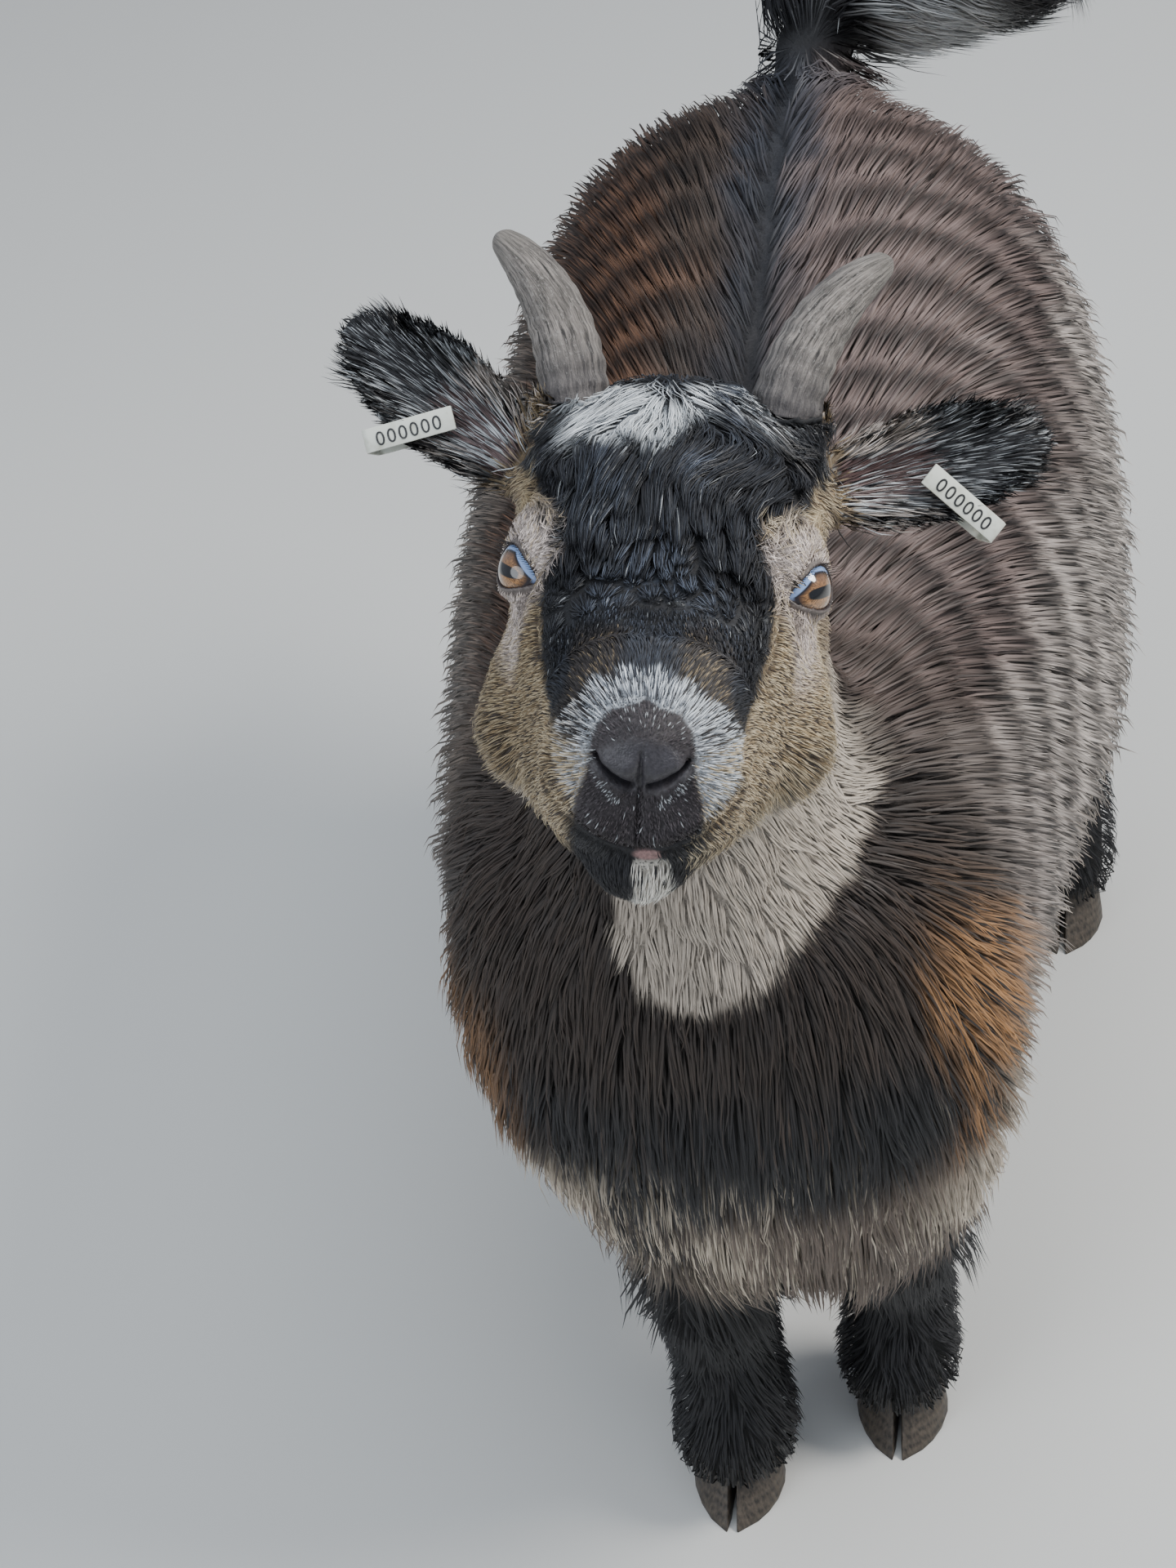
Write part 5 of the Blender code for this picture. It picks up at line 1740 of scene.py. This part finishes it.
def body_part(b, name):
    """True where a point of the body's frame belongs to this part of the coat."""
    _, y, z = b.T
    s, _ = round_trunk(b)
    tail = (above(b, TAIL_CUT) > -0.002) & (y > 0.41)
    fore, hind = (z < 0.140) & (y < 0.17), (z < 0.190) & (y > 0.28)
    neck = above(b, NECK_CUT) > 0.0
    belly = (z < 0.200) & ~fore & ~hind
    chest = (y < 0.035) & ~neck & ~fore & ~belly
    rest = ~(tail | fore | hind | neck | belly | chest)
    rear = y > 0.36
    parts = {
        "tail": tail, "fore": fore, "hind": hind, "neck": neck & ~tail, "belly": belly, "chest": chest,
        "rump": rest & rear, "left": rest & ~rear & (s >= 0), "right": rest & ~rear & (s < 0),
    }
    return parts[name]


def forelock_part(h):
    """True on the mask's upper part, where the forelock grows."""
    x, f, z = h.T
    side = np.abs(x)
    return (z > mask_edge(h)) & (side < 0.052) & (f < 0.050) & (f > -0.065)


def patches():
    """Every part of the skin that has a coat piece of its own."""
    nose = HEAD_TURN @ Vector((0, -1, 0))
    head_view = looking(HEAD @ Vector((0, 0, -0.012)), nose)
    crown_view = looking(EYES, HEAD_TURN @ Vector((0, 0, 1)))
    down, ahead, left, up = (0, 0, -1), (0, -1, 0), (1, 0, 0), (0, 0, 1)

    def on_body(part):
        return lambda points, label: (label == 0) & body_part(in_body(points), part)

    def on_face(sign):
        def pick(points, label):
            h = in_head(points)
            return (label == 1) & ~forelock_part(h) & (np.sign(h[:, 0]) == sign)
        return pick

    def on_crown(points, label):
        return (label == 1) & forelock_part(in_head(points))

    def on_ear(side):
        def pick(points, label):
            return (label == 2) & (np.sign(in_head(points)[:, 0]) == SIDES[side])
        return pick

    made = [
        Patch("coat_forelock", "head", on_crown, 14000, 2, "coat_black", 0.018, 0.68, crown_view,
              (0.06, 0.09, 0.06), 0.6, 0.04, 0.50),
        Patch("coat_face_left", "head", on_face(1), 30000, 1, "coat_tan", 0.10, 0.20, head_view,
              (0.06, 0.07, 0.11), 0.4),
        Patch("coat_face_right", "head", on_face(-1), 30000, 1, "coat_tan", 0.10, 0.20, head_view,
              (0.06, 0.07, 0.11), 0.4),
        Patch("coat_neck", "body", on_body("neck"), 9000, 2, "coat_grey", 0.030, 0.45,
              looking(ORIGIN + Vector((-0.02, 0.03, 0.43)), ahead), (0.1, 0.1, 0.1), 0.4),
        Patch("coat_chest", "body", on_body("chest"), 9500, 2, "coat_black", 0.030, 0.50,
              looking(ORIGIN + Vector((-0.02, 0.10, 0.29)), ahead), (0.14, 0.14, 0.14), 0.4),
        Patch("coat_flank_left", "body", on_body("left"), 14500, 2, "coat_grey", 0.11, 0.22,
              looking(BODY_MIDDLE, left), (0.15, 0.22, 0.15), 0.4),
        Patch("coat_flank_right", "body", on_body("right"), 14500, 2, "coat_grey", 0.11, 0.22,
              looking(BODY_MIDDLE, (-1, 0, 0)), (0.15, 0.22, 0.15), 0.4),
        Patch("coat_rump", "body", on_body("rump"), 10500, 2, "coat_grey", 0.090, 0.28,
              looking(ORIGIN + Vector((-0.02, 0.38, 0.33)), (0, 1, 0)), (0.15, 0.16, 0.15), 0.4),
        Patch("coat_belly", "body", on_body("belly"), 3500, 2, "coat_grey", 0.030, 0.60,
              looking(BODY_MIDDLE, down), (0.15, 0.25, 0.17), 0.4),
        Patch("coat_tail", "body", on_body("tail"), 3600, 2, "coat_black", 0.03, 0.45,
              looking(ORIGIN + Vector((0.03, 0.49, 0.50)), left), (0.03, 0.03, 0.08), 0.5),
    ]
    for side, matrix in EARS.items():
        view = looking(matrix @ Vector((0.04, 0, -0.004)), matrix.to_3x3() @ Vector((0, 0, 1)))
        made.append(Patch(f"coat_ear_{side}", "ear", on_ear(side), 4200, 2, "coat_black", 0.08, 0.10,
                          view, (0.05, 0.05, 0.006), 0.5))
    for end, y, reach in (("fore", 0.03, 0.08), ("hind", 0.40, 0.10)):
        for side, sign in SIDES.items():
            def pick(points, label, part=end, way=sign):
                b = in_body(points)
                return (label == 0) & body_part(b, part) & (np.sign(b[:, 0] + 0.004) == way)
            view = looking(ORIGIN + Vector((sign * 0.07, y, 0.10)), up)
            made.append(Patch(f"coat_leg_{end}_{side}", "body", pick, 3800, 1, "coat_black", 0.06, 0.45,
                              view, (0.03, 0.03, reach), 0.4))
    return made


def style_of(patch, roots, normals, draws):
    """Length, width, lift in degrees, cling and droop of a patch's hairs."""
    if patch.style == "head":
        return head_style(roots, draws)
    if patch.style == "ear":
        return ear_style(roots, normals, draws)
    return body_style(roots, draws)


def grow_patch(surface, patch, label, material):
    """One piece of the coat, or an error where no skin belongs to it."""
    draw = np.random.default_rng(bpy.context.scene.goat_coat.seed + sum(map(ord, patch.name)))
    weights = patch.pick(surface.middle, label).astype(float) * (surface.bare < BARE_LIMIT)
    if weights.sum() == 0:
        raise RuntimeError(f"no skin belongs to {patch.name}")
    roots, normals = surface.scatter(weights, patch.count, draw)
    draws = draw.random((patch.count, 3))
    length, width, lift, cling, droop = style_of(patch, roots, normals, draws)
    shares = [(k + 1) / (patch.rings + 1) for k in range(patch.rings + 1)]
    places, ups, ways = walk(surface, roots, normals, length, shares)
    if patch.style == "body":
        rows = row_share(places[-1])
        part = ripple_phase(in_body(places[-1]))
        short = (ROW_EDGE - part + np.floor(part) + 0.5) % 1.0 - 0.5
        length = length * (1 + rows * short * bpy.context.scene.goat_coat.ripple / length)
        places, ups, ways = walk(surface, roots, normals, length, shares)
        lift = lift + 3 * rows
    rise = np.sin(np.radians(lift)) * length
    stray = draw.normal(0, 1, (patch.count, 3)) * (length * patch.stray)[:, None]
    start = tangent(ways[0] + stray / length[:, None] * 2, normals)
    tip_way = unit(start * np.cos(np.radians(lift))[:, None] + normals * np.sin(np.radians(lift))[:, None])
    paths = [roots - normals * ROOT_DEPTH]
    for share, place, up in zip(shares, places[1:], ups[1:]):
        clung = place + up * (rise * (1 - (1 - share) ** 2) + 0.0002)[:, None] + stray * share
        free = roots + tip_way * (length * share)[:, None]
        free[:, 2] -= droop * length * share ** 2
        paths.append(clung * cling[:, None] + free * (1 - cling)[:, None])
    paths = clumped(paths, roots, patch.locks, patch.pull, draw)
    width = width * (0.75 + 0.5 * draws[:, 2])
    roll = draw.normal(0, TUFT_ROLL, (patch.count, 1))
    tilted = [up + np.cross(up, way) * roll for up, way in zip(ups[1:], ways)]
    colours = []
    for share, place in zip([0.0, *shares], places):
        root_colour, tip_colour = paint(place, normals, draws)
        colours.append(mixed(root_colour, tip_colour, np.full(patch.count, share ** 0.9)))
    spots = unwrapped(roots, patch.view, patch.radii)
    soft = unit(ups[-1] + draw.normal(0, SHADE_TILT, (patch.count, 3)))
    mesh = tufts_mesh(patch.name, paths, [normals, *tilted], width, colours, spots, draws[:, 1], soft,
                      patch.softness)
    return finish_piece(link(patch.name, mesh), material)


class GOAT_OT_coat(bpy.types.Operator):
    """Grow the coat on the skin, patch by patch"""

    bl_idname = "goat.coat"
    bl_label = "Coat"

    def execute(self, context):
        surface = Surface(bpy.data.objects["skin"])
        label = region_of(surface.middle)
        materials = {}
        for patch in patches():
            key = (patch.gloss, STRAND_CONTRAST[patch.style])
            if key not in materials:
                rough = 0.42 if patch.gloss > 0.45 else 0.55
                materials[key] = coat_material(f"coat_{len(materials)}", rough, *key)
            grow_patch(surface, patch, label, materials[key])
        return {"FINISHED"}


# -------- lashes
def lash_tree():
    """Tapered lashes along a line of points, each turned along the way stored at its point."""
    tree = geometry_tree("lashes", [
        ("Count", "NodeSocketInt", 24), ("Length", "NodeSocketFloat", 0.006),
        ("Width", "NodeSocketFloat", 0.00022), ("Seed", "NodeSocketInt", 3),
        ("Material", "NodeSocketMaterial", None)])
    start = add_node(tree, "NodeGroupInput")
    line = add_node(tree, "GeometryNodeMeshToCurve", at0=start)
    even = add_node(tree, "GeometryNodeResampleCurve", at0=line, at2=start.outputs[1])
    cone = add_node(tree, "GeometryNodeMeshCone", at0=5, at1=6, at3=0.0, at4=start.outputs[3],
                    at5=start.outputs[2])
    out = add_node(tree, "GeometryNodeInputNamedAttribute", {"data_type": "FLOAT_VECTOR"}, at0="Out")
    aim = add_node(tree, "FunctionNodeAlignRotationToVector", {"axis": "Z"}, at2=out)
    scale = add_node(tree, "FunctionNodeRandomValue", {"data_type": "FLOAT"}, at2=0.65, at3=1.15)
    tree.links.new(start.outputs[4], scale.inputs["Seed"])
    copies = add_node(tree, "GeometryNodeInstanceOnPoints", at0=even, at2=cone, at5=aim)
    tree.links.new(scale.outputs[1], copies.inputs["Scale"])
    return end_tree(tree, copies, start.outputs[5])


def lash_line(side):
    """A line of points along the upper lid, with the way that each lash grows."""
    sign = SIDES[side]
    ahead_axis, up_axis, out_axis = (np.array(a) for a in eye_axes(sign))
    places, outs, count = [], [], 40
    for k in range(count):
        turn = math.pi * (0.10 + 0.80 * k / (count - 1))
        ahead = math.cos(turn) * LID_WIDTH * 1.06
        up = math.sin(turn) * LID_TOP * 1.06 * (1 - LID_TAPER * ahead / LID_WIDTH)
        ball = math.sqrt(EYE_RADIUS ** 2 - ahead ** 2 - up ** 2)
        places.append(np.array(eye_middle(side)) + ahead_axis * ahead + up_axis * up
                      + out_axis * (ball + 0.0010))
        outs.append(out_axis * 0.9 + up_axis * 0.15 + ahead_axis * (ahead / LID_WIDTH) * 0.5)
    mesh = bpy.data.meshes.new(f"lash_line_{side}")
    mesh.from_pydata([tuple(p) for p in places], [(i, i + 1) for i in range(count - 1)], [])
    write_values(mesh, "Out", np.array(outs), "FLOAT_VECTOR")
    return mesh


class GOAT_OT_lashes(bpy.types.Operator):
    """Make the eyelashes along the upper lids"""

    bl_idname = "goat.lashes"
    bl_label = "Lashes"

    def execute(self, context):
        tree = lash_tree()
        shader = Shader("lash", Base_Color=(0.012, 0.011, 0.012, 1), Roughness=0.4)
        tone = shader.node("TexNoise", Vector=shader.place(), Scale=500.0)
        shader.set(Base_Color=shader.mix(tone, (0.008, 0.008, 0.009), (0.05, 0.04, 0.035)))
        for side in SIDES:
            obj = link(f"lash_plain_{side}", lash_line(side))
            obj = run_tree(obj, tree, f"lashes_{side}", Count=26, Length=0.0052, Width=0.00018,
                           Seed=3 + SIDES[side], Material=shader.material)
            finish_piece(obj, shader.material)
        return {"FINISHED"}


# -------- stage
CAMERA_FROM_EYES = Vector((0.1655, -0.6649, 0.5140))
CAMERA_YAW, CAMERA_PITCH, CAMERA_ROLL = 17, 41, 10  # degrees left, down and tipped
CAMERA_LENS = 60


def area_light(name, place, aim, size, power, colour):
    light = bpy.data.lights.new(name, "AREA")
    light.shape = "DISK"
    light.size = size
    light.energy = power
    light.color = colour
    obj = link(name, light)
    obj.location = place
    obj.rotation_mode = "QUATERNION"
    obj.rotation_quaternion = (aim - place).to_track_quat("-Z", "Y")


def make_camera():
    yaw, pitch, roll = (math.radians(a) for a in (CAMERA_YAW, CAMERA_PITCH, CAMERA_ROLL))
    ahead = Vector((-math.sin(yaw) * math.cos(pitch), math.cos(yaw) * math.cos(pitch), -math.sin(pitch)))
    right = ahead.cross(Vector((0, 0, 1))).normalized()
    up = right.cross(ahead)
    tipped_right = right * math.cos(roll) - up * math.sin(roll)
    tipped_up = right * math.sin(roll) + up * math.cos(roll)
    camera = bpy.data.cameras.new("camera")
    camera.lens = CAMERA_LENS
    camera.sensor_width = 36
    camera.clip_start = 0.02
    obj = link("camera", camera)
    matrix = Matrix((tipped_right, tipped_up, -ahead)).transposed().to_4x4()
    matrix.translation = EYES + CAMERA_FROM_EYES
    obj.matrix_world = matrix
    bpy.context.scene.camera = obj


class GOAT_OT_stage(bpy.types.Operator):
    """Make the camera, the lights and the pale floor"""

    bl_idname = "goat.stage"
    bl_label = "Stage"

    def execute(self, context):
        make_camera()
        bm = bmesh.new()
        bmesh.ops.create_grid(bm, x_segments=1, y_segments=1, size=6)
        floor = link("floor", freed(bm, "floor"))
        shader = Shader("floor", Base_Color=(*context.scene.goat_colours.floor, 1), Roughness=0.9)
        floor.data.materials.append(shader.material)
        target = ORIGIN + Vector((0, 0.15, 0.35))
        area_light("key", ORIGIN + Vector((1.7, 0.35, 2.1)), target, 0.9, 62, (1.0, 0.97, 0.92))
        area_light("fill", ORIGIN + Vector((-1.6, -1.6, 1.6)), target, 1.8, 26, (0.92, 0.96, 1.0))
        area_light("sky", ORIGIN + Vector((0.2, -0.3, 3.0)), target, 2.4, 48, (0.86, 0.93, 1.0))
        world = bpy.data.worlds.new("studio")
        world.use_nodes = True
        background = world.node_tree.nodes["Background"]
        background.inputs["Color"].default_value = (0.80, 0.87, 1.0, 1)
        background.inputs["Strength"].default_value = 0.45
        context.scene.world = world
        return {"FINISHED"}


# -------- panel and registering
OPERATORS = [GOAT_OT_stage, GOAT_OT_skin, GOAT_OT_eyes, GOAT_OT_horns, GOAT_OT_hooves, GOAT_OT_tags,
             GOAT_OT_coat, GOAT_OT_lashes]
SETTINGS = {"goat_coat": GoatCoatSettings, "goat_skin": GoatSkinSettings,
            "goat_colours": GoatColourSettings}


class GOAT_PT_panel(bpy.types.Panel):
    """The goat's settings and the buttons that make its pieces"""

    bl_idname = "GOAT_PT_panel"
    bl_label = "Goat"
    bl_space_type = "VIEW_3D"
    bl_region_type = "UI"
    bl_category = "Goat"

    def draw(self, context):
        for name, group in SETTINGS.items():
            box = self.layout.box()
            for key in group.__annotations__:
                box.prop(getattr(context.scene, name), key)
        for operator in OPERATORS:
            self.layout.operator(operator.bl_idname)


def register():
    for cls in [*SETTINGS.values(), *OPERATORS, GOAT_PT_panel]:
        bpy.utils.register_class(cls)
    for name, group in SETTINGS.items():
        setattr(bpy.types.Scene, name, bpy.props.PointerProperty(type=group))


def unregister():
    for name in SETTINGS:
        delattr(bpy.types.Scene, name)
    for cls in reversed([*SETTINGS.values(), *OPERATORS, GOAT_PT_panel]):
        bpy.utils.unregister_class(cls)


def main():
    """Registers the add-on and makes every piece."""
    register()
    bpy.ops.goat.stage()
    bpy.ops.goat.skin()
    bpy.ops.goat.eyes()
    bpy.ops.goat.horns()
    bpy.ops.goat.hooves()
    bpy.ops.goat.tags()
    bpy.ops.goat.coat()
    bpy.ops.goat.lashes()


if __name__ == "__main__":
    main()
